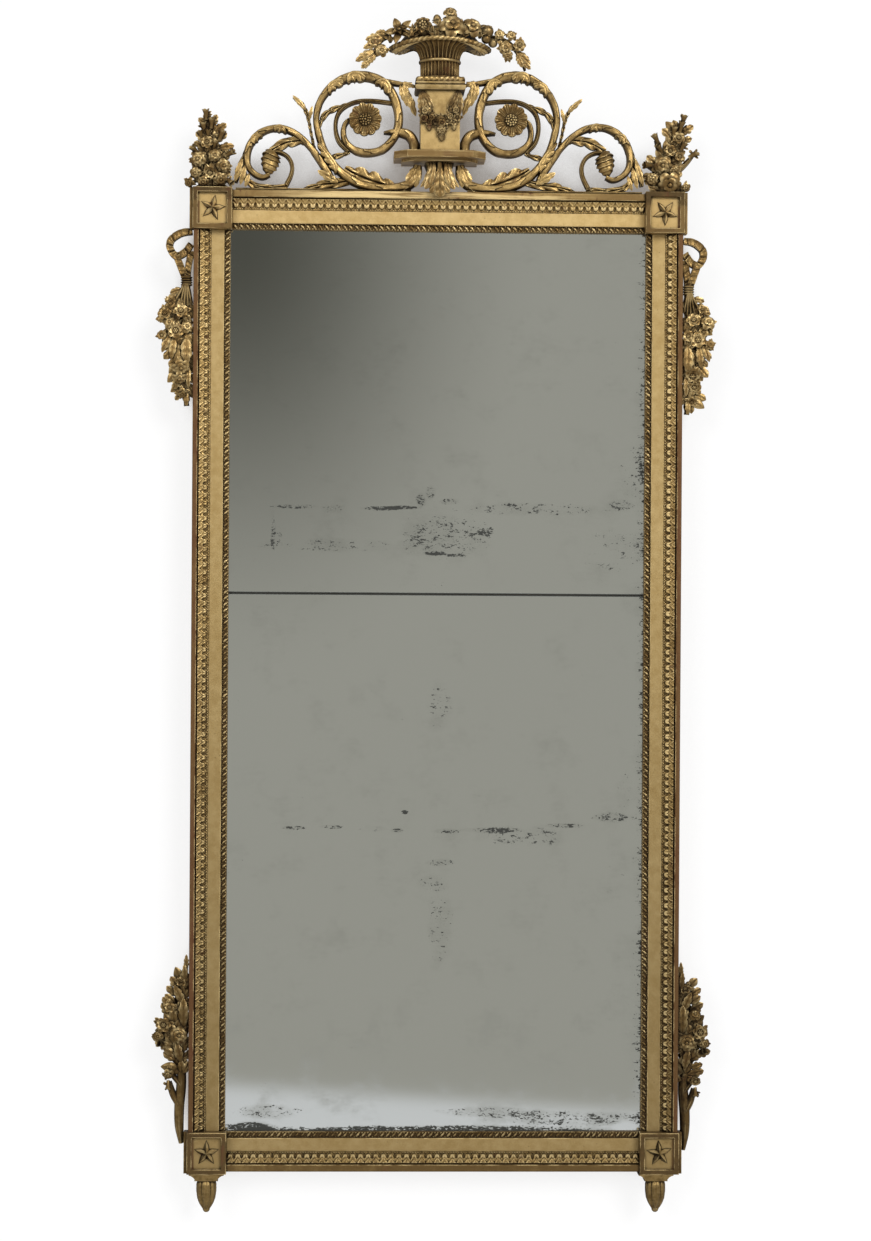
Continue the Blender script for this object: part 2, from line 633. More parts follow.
def copies(length, pitch):
    """How many copies of an ornament fill a run; the pitch is in metres."""
    return max(1, round(length / (pitch / MM)))


def carve_leaf_strip(side, settings, finish, tip_finish):
    """Heart-shaped leaves side by side: slanting veins behind, split rolled tips, a scalloped inner hem."""
    node = f"leaf_strip_{side}"
    start, run, inward, length, width, crown, base = run_frame(node)
    count = copies(length, settings.leaf_pitch)
    s = np.linspace(0, count, count * 16 + 1)[:, None]
    v = np.linspace(0, 1, 23)[None, :]
    q = np.abs(2 * part_of(s + 1e-9) - 1)
    waver = np.sin(s * 2.399) + np.sin(s * 0.83)
    half = 0.98 * np.maximum(1e-4, 1 - np.minimum(1, v / 0.84) ** 3) ** 0.8
    leaf = np.clip(1 - (q / half) ** 2, 0, 1) ** 0.5
    sweep = crown + (base - crown) * (0.06 + 0.66 * (1 - (1 - v) ** 1.7))
    behind = np.clip((0.52 - v) / 0.14, 0, 1)
    veins = np.cos(2 * math.pi * (2.7 * v + 1.15 * q + 0.16 * waver))
    gap = dip(q, 1, 0.22) * np.clip(np.minimum(v - 0.36, 0.84 - v) / 0.08, 0, 1)
    hem = np.clip(np.minimum(v - 0.82, 0.99 - v) / 0.05, 0, 1) * (0.5 + 0.5 * np.cos(6 * math.pi * s)) ** 0.7
    lift = 1.9 * leaf - 1.1 + 0.85 * veins * behind - 1.7 * gap + 3.0 * hem
    grid = start + (s * length / count)[..., None] * run + (width * v)[..., None] * inward
    grid[..., 1] = np.clip(sweep - lift, crown - 1.0, base - 0.3)
    carving = Carving()
    carving.backed(grid, base)
    carving.replace(node, finish, sharp=70)
    tips = Carving(3)
    for i in range(count):
        tip = start + run * (i + 0.5) * length / count + inward * 0.58 * width + FRONT * (5.2 - base)
        size = tips.chance.uniform(2.2, 2.8)
        for hand in (-1, 1):
            orb(tips, tip + run * hand * 1.9, size, inward - hand * 0.42 * run - 0.34 * FRONT, 1.6, rows=8)
    tips.piece(f"{node}_tips", tip_finish)


# Small beads beside each slanted one: (share of the step along, share of the width across, radius in widths)
SMALL_BEADS = ((0.26, 0.36, 0.17), (0.76, 0.36, 0.17), (0.5, -0.33, 0.13))


def carve_bead_strip(side, settings, finish):
    """Slanted beads in a row with deep gaps between, each with smaller neighbours tucked beside it."""
    node = f"bead_strip_{side}"
    start, run, inward, length, width, crown, base = run_frame(node)
    carving, count = Carving(7), copies(length, settings.bead_pitch)
    step = length / count
    line = start + inward * width * 0.5 - FRONT * (crown + 0.62 * (base - crown))
    for i in range(count):
        middle = line + run * (step * (i + 0.5) + carving.chance.uniform(-0.6, 0.6))
        grow = width * carving.chance.uniform(0.84, 1.06)
        orb(carving, middle, 0.20 * grow, run + 1.1 * inward, 2.2, rows=8, columns=8)
        for along, across, size in SMALL_BEADS:
            place = middle + run * step * along + inward * width * across
            orb(carving, place, size * grow, rows=5, columns=6)
    carving.replace(node, finish)


STAR_TURN = {"top_left": 12, "top_right": 36, "bottom_left": 0, "bottom_right": -4}
# Reach and rise over the panel: round a ray from its tip, then on a ridge, in a valley and at the peak
STAR_EDGE = ((21.8, 2.4), (12.22, 2.8), (7.0, 2.4), (12.22, 2.8))
STAR_RIDGE, STAR_VALLEY, STAR_PEAK = (10.0, 10.0), (2.6, 4.6), (0.0, 11.4)
STAR_SKIRT = 3.2


def carve_stars(finish):
    """A star in each block's panel: five ridged rays with steep flanks."""
    carving = Carving()
    for corner, turn in STAR_TURN.items():
        low, high = measure(f"corner_block_{corner}")
        middle = np.array((math.copysign(BLOCK_MIDDLE, low[0]), PANEL_BED, (low[2] + high[2]) / 2))

        def point(degrees, reach, rise):
            a = math.radians(90 - turn + degrees)
            return middle + rise * FRONT + reach * np.array((math.cos(a), 0, math.sin(a)))

        rings = [], [], [], []
        for i in range(20):
            reach, rise = STAR_EDGE[i % 4]
            valley = i % 4 == 2
            rings[0].append(point(18 * i, reach + STAR_SKIRT, -0.2))
            rings[1].append(point(18 * i, reach, rise))
            rings[2].append(point(18 * i, *STAR_VALLEY) if valley else point(72 * round(i / 4), *STAR_RIDGE))
            rings[3].append(point(0, *STAR_PEAK))
        carving.rod(rings)
    carving.replace("corner_stars", finish, sharp=25)


# Pedestal, basket and feet


def rope(carving, line, radius, pitch, step, closed=True, strands=2, columns=14):
    """A twisted rope along a line of (x, y, z)."""
    p = np.vstack([line, line[:1]]) if closed else np.asarray(line, float)
    s = distance_along(p)
    at = np.linspace(0, s[-1], int(s[-1] / step) + 1)
    path = np.column_stack([np.interp(at, s, column) for column in p.T])
    run = np.gradient(path, axis=0)
    run /= np.linalg.norm(run, axis=1, keepdims=True)
    a = np.cross(run, UP)
    a /= np.linalg.norm(a, axis=1, keepdims=True)
    b = np.cross(a, run)
    w = full_turn(columns)[None, :]
    turns = max(1, round(s[-1] / (pitch * strands)))
    r = radius * (0.8 + 0.26 * np.abs(np.cos(strands * (w - 2 * math.pi * turns * at[:, None] / s[-1]) / 2)))
    carving.rod(path[:, None, :] + round_about(r, w, a[:, None, :], b[:, None, :]))


# Steps of the cap from its foot: (inset, height)
CAP_STEPS = ((2.5, 0), (0.4, 2.5), (0, 3.5), (0, 8), (0.8, 8.6), (3.2, 9.0), (3.2, 11), (1.2, 11.6),
             (1.0, 14.5), (3.6, 16.5), (6.4, 17.5), (6.4, 24))


def carve_cap(settings, finish):
    """A stepped slab under a twisted rope."""
    low, high = measure("pedestal_cap")
    carving, back = Carving(), high[1]
    rows = []
    for inset, h in CAP_STEPS:
        left, right, near, z = low[0] + inset, high[0] - inset, low[1] + inset, low[2] + h
        rows.append([(left, back, z), (left, near, z), (right, near, z), (right, back, z)])
    carving.rod(rows)
    half, y, z = high[0] - 5.6, low[1] + 5.8, high[2] - 4.4
    line = [(-half, back, z), (-half, y + 3, z), (3 - half, y, z), (half - 3, y, z), (half, y + 3, z),
            (half, back, z)]
    rope(carving, line, 5.0, settings.rope_pitch / MM, 1.2, closed=False)
    carving.replace("pedestal_cap", finish, sharp=30)


# Swag: heads and buds as (x, height from the pedestal's top, radius), leaves as (x, height, x, height, width)
SWAG = ((-26, -39, 10), (-14, -50, 9), (-30, -53, 8), (-21, -60, 7), (2, -59, 11), (-8, -57, 8), (12, -57, 8),
        (2, -74, 9), (26, -37, 10), (16, -48, 9), (30, -51, 8), (24, -59, 7))
SWAG_BUDS = ((3, -86, 5.5), (-20, -69, 4.5), (25, -68, 4.5))
SWAG_LEAVES = ((36, -3, 35, -48, 14), (35, -2, 27, -46, 16), (34, -1, 18, -40, 14), (31, -1, 12, -34, 8))


def carve_swag(finish):
    """Two curtains of leaves down to three bunches of flowers, hung across the pedestal in a V."""
    low, high = measure("pedestal")
    carving, y, top = Carving(23), low[1], high[2]
    for hand in (-1, 1):
        for x, h, x1, h1, width in SWAG_LEAVES:
            leaf_on(carving, hand * x, top + h, hand * x1, top + h1, width, y - 2, lobes=4, arch=4)
    for x, h, radius in SWAG:
        for turn in (0.3, 1.6, 2.9, 4.4):
            turn += carving.chance.uniform(-0.4, 0.4)
            leaf_out(carving, x, top + h, turn, radius * 1.6, radius * 0.9, y - 1,
                     lobes=2, arch=2.5, curl=0.5)
        place, face = np.array((x, y - 3, top + h)), unit(FRONT + 0.35 * unit((x, 0, -8)))
        if radius > 8:
            rose(carving, place, radius * 0.95, face)
        else:
            daisy(carving, place + 2 * FRONT, radius, face, petals=5, seeds=5)
    for x, h, radius in SWAG_BUDS:
        closed_bud(carving, np.array((x, y - 3, top + h)), radius, -UP)
    carving.replace("pedestal_swag", finish)


# Side leaves of the bracket: (x, x of the tip, height of the tip above the rail, width, bend, depth)
BRACKET_LEAVES = ((14, 27, 2, 19, -5, 5), (19, 36, 6, 13, -7, 2), (10, 18, 10, 12, -2, 7))


def carve_bracket(finish):
    """The console under the shelf: a fluted body behind a fan of acanthus leaves."""
    low, high = measure("shelf_bracket")
    foot, back, top = low[2], high[1], high[2]
    (_, bed, _), (_, _, rail) = measure("moulding_top")
    carving, y = Carving(29), bed - 1.0
    body = [(0, rail, 27), (0, rail + 20, 30), (0, rail + 36, 39), (0, top, 54)]
    band(carving, body, back, y + 3, fluted, step=4, columns=31)
    for hand in (-1, 1):
        for x0, x1, h1, width, bend, depth in BRACKET_LEAVES:
            blade(carving, (hand * x0, y - depth, top - 1), (hand * x1, y - depth - 2, rail + h1), width,
                  lobes=3, curl=5, bend=hand * bend, cup=-3, thick=6, stalk=0.5, spread=1.5, rows=31)
    blade(carving, (0, y - 7, top - 1), (0, y - 5, foot + 1), 26, lobes=4, arch=5, curl=4, cup=-4, thick=6,
          stalk=0.3, spread=1.9, blunt=0.6, rows=45, columns=15)
    for hand in (-1, 1):
        blade(carving, (hand * 3, y - 6, rail + 26), (hand * 17, y - 6, rail - 4), 15, lobes=2, curl=3,
              bend=hand * -2, cup=-3, thick=6, spread=1.5, rows=24)
    spine = [(0, top - 1, 9), (0, rail + 26, 8), (0, foot + 14, 4)]
    band(carving, spine, y + 2, y - 12, grooved, step=2, columns=9)
    carving.replace("shelf_bracket", finish)


RIM_SAG = 13.0
# Side of the basket from its foot: (radius, height, kind of fluting), and each kind as (flutes, depth)
BASKET_SIDE = (
    (36.5, 0, 0), (37.5, 1.5, 0), (37.5, 4, 0), (36.0, 5, 1), (36.0, 17, 1), (36.4, 29, 1), (36.6, 31, 0),
    (38.6, 32, 0), (39.2, 34, 0), (38.6, 36, 0), (37.0, 37, 0), (37.2, 38.5, 2), (38.2, 44, 2), (40.4, 50, 2),
    (44.6, 56, 2), (51.0, 61.5, 2), (58.0, 65.5, 2))
FLUTING = ((0, 0), (32, 3.4), (32, 4.2))
SAG_FROM, OVAL_FROM = 45, 52


def weave_basket(settings, finish, under_finish):
    """A fluted bell on a fluted foot, with a roped oval rim and a hatched underside that rolls down."""
    low, high = measure("basket")
    back, foot, rim = high[1], low[2], high[2]
    wide, deep = high[0], BASKET_AXIS - low[1]

    def ring(turn, across, fore, z, sag=RIM_SAG, limit=back):
        """A loop about the basket's axis that sags to both ends and stops at the back."""
        x = across * np.sin(turn)
        return points_at(x, np.minimum(BASKET_AXIS - fore * np.cos(turn), limit), z - sag * (x / wide) ** 2)

    carving, turn, rows, under = Carving(), full_turn(384), [], []
    for radius, h, kind in BASKET_SIDE:
        flutes, depth = FLUTING[kind]
        r = radius - depth * np.abs(np.cos(flutes * turn / 2)) ** 1.6
        squeeze = 1 + (deep / wide - 1) * max(0.0, (radius - OVAL_FROM) / (wide - OVAL_FROM))
        rows.append(ring(turn, r, r * squeeze, foot + h, RIM_SAG * (radius > SAG_FROM)))
    for share in np.linspace(0, 1, 34):
        hatch = np.sin(40 * share + 9 * np.abs(turn - math.pi)) * math.sin(math.pi * share)
        roll = (1.3 * hatch - 9.0 * math.sin(math.pi * share ** 1.5)) * np.sin(turn) ** 2
        across, fore = min(57.0 + (wide - 59.5) * share, wide - 3), 56.0 + (deep - 59.0) * share
        under.append(ring(turn, across, fore, rim - 8.0 + 3.0 * share + roll))
    rows += [under[0], under[-1]]
    rows += [ring(turn, (wide - 3) * share, (deep - 3) * share, rim - 1.5) for share in (0.97, 0.6)]
    carving.rod(rows)
    line = ring(full_turn(160), wide - 4.5, deep - 4.5, rim - 4.6, limit=back - 4.5)
    rope(carving, line, 4.6, settings.rope_pitch / MM, 1.5)
    carving.replace("basket", finish)
    weave = Carving()
    weave.sheet(np.stack(under), around=True)
    weave.piece("basket_underside", under_finish)


# The mound in the basket: (share of its width, height above the rim), with its half width, depth and back
MOUND = ((1, -6), (0.97, -3), (0.85, 3), (0.72, 14), (0.5, 22), (0.1, 27))
MOUND_HALF, MOUND_DEEP, MOUND_BACK = 88, 55, -20
# Flowers in the basket: (x, height above the rim, radius, kind)
BASKET_HEADS = ((-75, 12, 24, "star"), (-32, 16, 17, "poppy"), (-7, 31, 9, "bud"), (17, 41, 12, "rose"),
                (20, 16, 22, "rose"), (56, 16, 18, "rose"), (86, 14, 12, "fruit"), (97, -5, 9, "fruit"),
                (84, 0, 9, "fruit"), (-53, 3, 12, "leaf"), (-7, 3, 12, "leaf"), (39, 3, 12, "leaf"),
                (-2, 24, 10, "leaf"), (38, 26, 10, "leaf"), (-52, 17, 9, "leaf"), (70, 22, 9, "leaf"),
                (-92, 0, 10, "leaf"), (-16, 12, 11, "leaf"), (4, 8, 10, "leaf"), (40, 14, 10, "leaf"),
                (-54, 10, 10, "leaf"), (72, 8, 10, "leaf"))


def fill_basket(finish):
    """A mound in the basket, set with flowers, fruit and leaves."""
    rim = measure("basket")[1][2]
    carving, turn, rows = Carving(31), full_turn(48), []
    for share, h in MOUND:
        x = share * MOUND_HALF * np.sin(turn)
        y = np.minimum(BASKET_AXIS - share * MOUND_DEEP * np.cos(turn), MOUND_BACK)
        wave = 2.5 * np.sin(9 * turn + 5 * share) * (h > 0)
        rows.append(points_at(x, y, rim + h + wave - RIM_SAG * (x / 95) ** 2))
    carving.rod(rows)
    for x, h, radius, kind in BASKET_HEADS:
        place = np.array((x, BASKET_AXIS - 44 * math.sqrt(1 - (x / 104) ** 2), rim + h))
        way = unit((x * 0.5, 0, 45))
        face = unit(FRONT + 0.45 * way)
        if kind == "star":
            whorl(carving, place, face, 5, 2, 1.15 * radius, 0, 5, 15, 0.1, arch=3, curl=-2, thick=5, rows=12)
            whorl(carving, place + face * 4, face, 5, 1, 0.55 * radius, 0, 5, 8, 0.6, arch=2, cup=2)
            orb(carving, place + face * 6, 4, face)
        elif kind == "poppy":
            orb(carving, place - face * 4, radius, face, 0.85, ribs=9, twist=0.1, depth=0.16)
            whorl(carving, place, face, 8, 0.5 * radius, radius, 8, 9, 11, stalk=0.9, blunt=0.5, cup=2.4,
                  arch=2)
            seeds = [5.6 * np.array((math.cos(a), 0, math.sin(a))) for a in full_turn(7)] + [np.zeros(3)]
            for seed in seeds:
                orb(carving, place + seed + face * 10.5, 2.6, face, rows=6, columns=8)
        elif kind == "bud":
            closed_bud(carving, place, radius * 0.82, way, 1.3)
            whorl(carving, place - way * 8, way, 4, 3, radius, 0, 8, 9)
        elif kind == "fruit":
            eye = unit(FRONT + way)
            orb(carving, place, radius, eye, rows=10, columns=16)
            whorl(carving, place + eye * radius * 0.92, eye, 5, 0.4, 3.4, 0, 1.2, 2.4, thick=1,
                  rows=6, columns=5)
        elif kind == "leaf":
            for lean in (-0.9, 0.0, 0.9):
                tip = place + np.array((math.sin(lean) * radius * 1.5, -9, math.cos(lean) * radius * 0.8 - 3))
                blade(carving, place - UP * 8 - FRONT * 4, tip, radius * 0.9, unit(FRONT + 0.6 * UP),
                      lobes=3, arch=5, curl=-3, thick=4, rows=22)
        else:
            rose(carving, place, radius, face)
    carving.replace("basket_flowers", finish)


# Sprays: stems hold (x, z, width), blooms (x, z, radius), leaves (x, z, x, z, width), all outwards and up

TRAILS = {
    "left": ([[(-5, 6, 8), (9, 2, 8), (21, -12, 7), (30, -34, 6), (43, -52, 4)]],
             [(13, -24, 11), (29, -8, 9)],
             [(3, 4, 43, -4, 18), (11, -4, 47, -20, 16), (25, -22, 61, -44, 16), (33, -38, 50, -57, 13),
              (0, 8, 24, 10, 12), (22, -28, 40, -50, 11)]),
    "right": ([[(-5, 6, 8), (13, 4, 8), (35, -6, 7), (53, -30, 6), (62, -54, 4)]],
              [(14, 8, 9), (35, 6, 9), (25, -16, 12), (50, -11, 12), (29, -30, 9)],
              [(44, -20, 71, -46, 15), (54, -36, 71, -55, 12), (46, -24, 56, -52, 12), (10, 2, 18, -12, 9)]),
}
BOUQUETS = {
    "left": ([[(2, 2, 62), (2, 36, 62), (0, 60, 48), (2, 80, 32), (4, 100, 20), (9, 122, 12), (13, 138, 7)],
              [(-4, 44, 8), (-18, 56, 6), (-31, 66, 5)], [(6, 6, 8), (24, 16, 7), (42, 9, 5)],
              [(5, 82, 6), (-6, 92, 5), (-15, 99, 4)], [(2, 36, 8), (14, 44, 7), (26, 51, 5)]],
             [(-14, 16, 12), (5, 27, 13), (17, 11, 10), (42, 9, 9), (31, 26, 10), (26, 51, 13),
              (-19, 40, 12), (-31, 62, 8), (-3, 58, 11), (11, 82, 12), (-15, 96, 8), (-3, 78, 8),
              (17, 110, 8), (3, 118, 8), (13, 134, 8), (22, 96, 7), (-29, 12, 8), (33, 68, 8),
              (9, 98, 7)], []),
    "right": ([[(4, 2, 52), (-2, 34, 56), (3, 58, 44), (15, 80, 32), (23, 102, 22), (33, 136, 8)],
               [(0, 60, 7), (-12, 80, 5), (-17, 98, 4)], [(4, 30, 8), (24, 40, 9), (40, 56, 10), (54, 72, 6)],
               [(-2, 30, 8), (-18, 42, 7), (-31, 50, 5)], [(6, 6, 8), (22, 8, 7), (37, 10, 6)],
               [(0, 12, 8), (-12, 18, 7), (-24, 23, 6)]],
              [(8, 18, 20), (37, 10, 9), (-4, 50, 16), (-31, 49, 8), (-17, 98, 8), (-24, 24, 11),
               (24, 100, 12), (29, 122, 8), (9, 77, 11), (26, 66, 9), (52, 70, 8), (33, 134, 8),
               (16, 112, 8), (-10, 80, 8), (32, 84, 8), (14, 40, 10)], []),
}
DROP = ([[(3, -4, 8), (23, -7, 9), (41, -19, 9), (44, -34, 9), (33, -49, 9), (17, -43, 9), (5, -27, 8)],
         [(32, -49, 9), (22, -74, 9), (14, -94, 9)], [(5, -40, 8), (10, -67, 8), (12, -90, 8)],
         [(12, -95, 14), (20, -112, 11), (34, -130, 7)],
         [(13, -98, 14), (20, -126, 28), (28, -154, 44), (29, -190, 48), (25, -222, 38), (18, -260, 26),
          (15, -290, 20), (12, -324, 10)],
         [(16, -180, 8), (36, -190, 7), (55, -196, 5)]],
        [(41, -133, 9), (52, -157, 13), (23, -152, 14), (43, -174, 10), (57, -196, 9), (32, -188, 15),
         (12, -181, 11), (22, -253, 15), (25, -273, 12), (20, -300, 10)],
        [(42, -190, 57, -228, 13), (34, -196, 40, -240, 13), (12, -195, 12, -250, 20), (9, -250, 8, -292, 10),
         (14, -294, 11, -326, 10)])
RISER = ([[(13, -22, 9), (17, 10, 16), (17, 45, 18), (14, 80, 18), (13, 112, 16)],
          [(13, 106, 16), (20, 140, 32), (26, 166, 44), (27, 192, 46), (22, 220, 36), (15, 250, 24),
           (10, 280, 15), (6, 312, 6)],
          [(18, 48, 12), (29, 68, 12), (36, 90, 9)], [(14, 84, 10), (26, 98, 9), (37, 108, 6)],
          [(13, 140, 8), (32, 160, 7), (54, 174, 5)], [(12, 190, 7), (24, 208, 6), (35, 227, 5)]],
         [(15, 275, 11), (35, 228, 10), (46, 196, 14), (55, 176, 9), (50, 161, 8), (19, 178, 15),
          (37, 108, 10), (37, 86, 7)],
         [(5, 296, 5, 326, 9), (6, 276, 9, 308, 10), (9, 234, 27, 270, 14), (9, 192, 10, 246, 18),
          (14, 128, 22, 166, 14), (38, 190, 62, 210, 12)])
# Each side's spread, and how far its upper and lower sprays are set down
SIDE_SET = {"left": (1.0, 0.0, 0.0), "right": (0.88, 8.0, 12.0)}
# Where the ribbon is tied, and the loose ends below the tie
TIE_PLACE = (13, -96)
TIE_ENDS = ((-9, -40), (-3, -46), (4, -48), (11, -44), (20, -36))


def carve_spray(carving, lists, x0, z0, spread=1.0, ribbons=0):
    """Stems, a ground of leaves over the wide ones, then single leaves and flower heads on top."""
    stems, blooms, leaves = lists

    def place(x, z):
        return x0 + x * spread, z0 + z

    for number, stem in enumerate(stems):
        line = [(*place(x, z), width) for x, z, width in stem]
        if number < ribbons:
            wide = [(x, z, 1.45 * width) for x, z, width in line]
            band(carving, wide, CREST_BACK, SPRAY_FRONT + 3, ribbon, step=1.2)
        elif max(width for _, _, width in line) > 18:
            band(carving, line, CREST_BACK, SPRAY_FRONT, tangled(number + 1.7), step=2.5, columns=19)
            clothe(carving, line, SPRAY_FRONT + 7)
        else:
            band(carving, line, CREST_BACK, SPRAY_FRONT + 4, grooved, columns=9)
    for x, z, x1, z1, width in leaves:
        leaf_on(carving, *place(x, z), *place(x1, z1), width * 1.15, SPRAY_FRONT + 2, lobes=4, arch=4)
    middle = np.mean([(x, z) for x, z, _ in blooms], axis=0)
    for x, z, radius in blooms:
        px, pz = place(x, z)
        for _ in range(3):
            turn = carving.chance.uniform(0, 2 * math.pi)
            leaf_out(carving, px, pz, turn, radius * 1.45, radius * 0.7, SPRAY_FRONT + 3,
                     lobes=2, arch=2, curl=0)
        way = np.array((x - middle[0], 0, z - middle[1])) / 40
        flower(carving, np.array((px, SPRAY_FRONT - 1, pz)), radius, way)


def carve_trail(name, finish):
    """A spray that hangs from one end of the basket's rim."""
    end, _, rim = measure("basket")[1]
    carving = Carving(41 + SIDES[name])
    carve_spray(carving, TRAILS[name], end, rim)
    carving.replace(f"flower_trail_{name}", finish, SIDES[name])


def carve_bouquet(name, finish):
    """The flowers that stand on an upper corner block."""
    carving = Carving(47 + SIDES[name])
    carve_spray(carving, BOUQUETS[name], BLOCK_MIDDLE, measure("corner_block_top_right")[1][2])
    carving.replace(f"corner_bouquet_{name}", finish, SIDES[name])


def carve_drop(name, finish):
    """The upper side spray: a ribbon bow, its tie, and the flowers that hang from it."""
    spread, down, _ = SIDE_SET[name]
    edge, root = measure("moulding_right")[1][0], measure("corner_block_top_right")[0][2] - down
    carving, turn = Carving(53 + SIDES[name]), full_turn(20)
    carve_spray(carving, DROP, edge, root, spread, ribbons=3)
    x, z = edge + TIE_PLACE[0] * spread, root + TIE_PLACE[1]
    for coil in range(4):
        rows = []
        for v in np.linspace(-1, 1, 5):
            r = 1 - 0.25 * v * v
            height = z + 7 - 4.4 * coil + 2 * v
            rows.append(points_at(x + 11 * r * np.cos(turn), -60 + 12 * r * np.sin(turn), height))
        carving.rod(rows)
    for dx, dz in TIE_ENDS:
        line = [(x + dx * 0.2, z - 4, 6), (x + dx * 0.5, z - 18, 7), (x + dx, z + dz, 6)]
        band(carving, line, CREST_BACK, SPRAY_FRONT - 2, rounded, columns=7)
    carving.replace(f"side_drop_top_{name}", finish, SIDES[name])


def carve_riser(name, finish):
    """The lower side spray: a trunk beside the block that opens into leaves and flowers."""
    spread, _, down = SIDE_SET[name]
    edge, root = measure("moulding_right")[1][0], measure("corner_block_bottom_right")[1][2] - down
    carving = Carving(59 + SIDES[name])
    carve_spray(carving, RISER, edge, root, spread)
    carving.replace(f"side_drop_bottom_{name}", finish, SIDES[name])


# Neck of a foot under its block as (half width, drop), then its body as a radius at each share of its height
FOOT_NECK = ((32, 0), (32, 2), (29, 2.4), (24.5, 5), (21.5, 8), (20.5, 11), (21.5, 12))
FOOT_SHARES, FOOT_RADII = (0, 0.12, 0.35, 0.60, 0.78, 0.91, 1.0), (17.0, 19.0, 19.2, 17.6, 14.2, 10.0, 6.6)
FOOT_TOP, FOOT_END, FOOT_BALL, FOOT_DEEP = 12.5, 66.0, 6.6, 18


def carve_foot(name, settings, finish):
    """A tapered foot wrapped in leaves under a hollowed neck, ending in a ball."""
    x, tip = FOOT_MIDDLE[name], measure(f"foot_{name}")[0][2]
    block = measure("corner_block_bottom_left")[0][2]
    carving, turn, rows = Carving(), full_turn(96), []
    c, s = np.cos(turn), np.sin(turn)
    square = 1 / np.maximum(np.abs(c), np.abs(s))
    for half, h in FOOT_NECK:
        across, fore = half * np.clip(c * square, -1, 1), min(half, FOOT_DEEP) * np.clip(s * square, -1, 1)
        rows.append(points_at(x + across, FOOT_AXIS + fore, block - h))
    q = 2 * part_of(settings.foot_leaves * turn / (2 * math.pi)) - 1
    for h in np.linspace(FOOT_TOP, FOOT_END, 34):
        v = (h - FOOT_TOP) / (FOOT_END - FOOT_TOP)
        half = np.sqrt(max(0.0, 1 - v ** 2.6))
        leaf = np.sqrt(np.clip(1 - (np.abs(q) / max(half, 0.05)) ** 2, 0, 1))
        scallop = 0.5 * np.abs(np.sin(9 * math.pi * v)) * np.abs(q)
        vein = 1.1 * dip(q, 0, 0.13) * (1 - v)
        r = np.interp(v, FOOT_SHARES, FOOT_RADII) - 2.6 + 2.6 * leaf + scallop - vein
        rows.append(points_at(x + r * c, np.clip(FOOT_AXIS + r * s, -84, -46), block - h))
    carving.rod(rows)
    orb(carving, (x, FOOT_AXIS, tip + FOOT_BALL), FOOT_BALL, UP, rows=9, columns=16)
    carving.replace(f"foot_{name}", finish)


# Finishes

WHITE = (1, 1, 1, 1)


def arithmetic(operation):
    """The operators with a tone on their left and on their right."""
    return (lambda tone, other: tone.sum(operation, tone, other),
            lambda tone, other: tone.sum(operation, other, tone))


class Tone:
    """A socket of a finish that ordinary arithmetic can work on."""

    def __init__(self, tree, socket):
        self.tree, self.socket = tree, socket

    def node(self, kind, settings=None, inputs=None, outlet=None):
        """Adds one node: settings first, then inputs by name; gives back the outlet named."""
        made = self.tree.nodes.new(kind)
        for key, value in (settings or {}).items():
            setattr(made, key, value)
        for key, value in (inputs or {}).items():
            if not isinstance(key, int):
                key = next(i for i, s in enumerate(made.inputs) if s.name == key and s.enabled)
            if isinstance(value, Tone):
                self.tree.links.new(value.socket, made.inputs[key])
            else:
                made.inputs[key].default_value = value
        return Tone(self.tree, next(o for o in made.outputs if o.enabled and outlet in (None, o.name)))

    def sum(self, operation, *pair):
        """One step of arithmetic, on vectors if either of the pair is one."""
        if not any(v.socket.type in ("RGBA", "VECTOR") for v in pair if isinstance(v, Tone)):
            return self.node("ShaderNodeMath", {"operation": operation}, dict(enumerate(pair)))
        pair = [v if isinstance(v, Tone) else (v,) * 3 if isinstance(v, (int, float)) else tuple(v)[:3]
                for v in pair]
        return self.node("ShaderNodeVectorMath", {"operation": operation}, dict(enumerate(pair)))

    __add__, __radd__ = arithmetic("ADD")
    __sub__, __rsub__ = arithmetic("SUBTRACT")
    __mul__, __rmul__ = arithmetic("MULTIPLY")
    __truediv__, __rtruediv__ = arithmetic("DIVIDE")
    __pow__, __rpow__ = arithmetic("POWER")

    def __abs__(self):
        return self.node("ShaderNodeMath", {"operation": "ABSOLUTE"}, {0: self})

    def ramp(self, low=0.0, high=1.0):
        """0 at low, 1 at high, and held beyond both."""
        return self.node("ShaderNodeMapRange", {"interpolation_type": "SMOOTHSTEP"},
                         {"Value": self, "From Min": low, "From Max": high})

    def near(self, middle, reach):
        """1 at the middle, falling to 0 at the reach on either side."""
        return abs(self - middle).ramp(reach, 0.0)

    def noise(self, scale, detail=4.0, roughness=0.5, stretch=None):
        at = self * stretch if stretch else self
        inputs = {"Vector": at, "Scale": scale, "Detail": detail, "Roughness": roughness}
        return self.node("ShaderNodeTexNoise", None, inputs, "Fac")

    def spots(self, scale):
        return self.node("ShaderNodeTexVoronoi", None, {"Vector": self, "Scale": scale}, "Distance")

    def axes(self):
        return [self.node("ShaderNodeSeparateXYZ", None, {"Vector": self}, axis) for axis in "XYZ"]

    def blend(self, other, amount):
        """This colour turned into the other by the amount."""
        return mix(self, other, amount)


def mix(first, second, amount):
    """One colour laid over another by the amount."""
    inputs = {"Factor": amount, "A": first, "B": second}
    return amount.node("ShaderNodeMix", {"data_type": "RGBA"}, inputs, "Result")


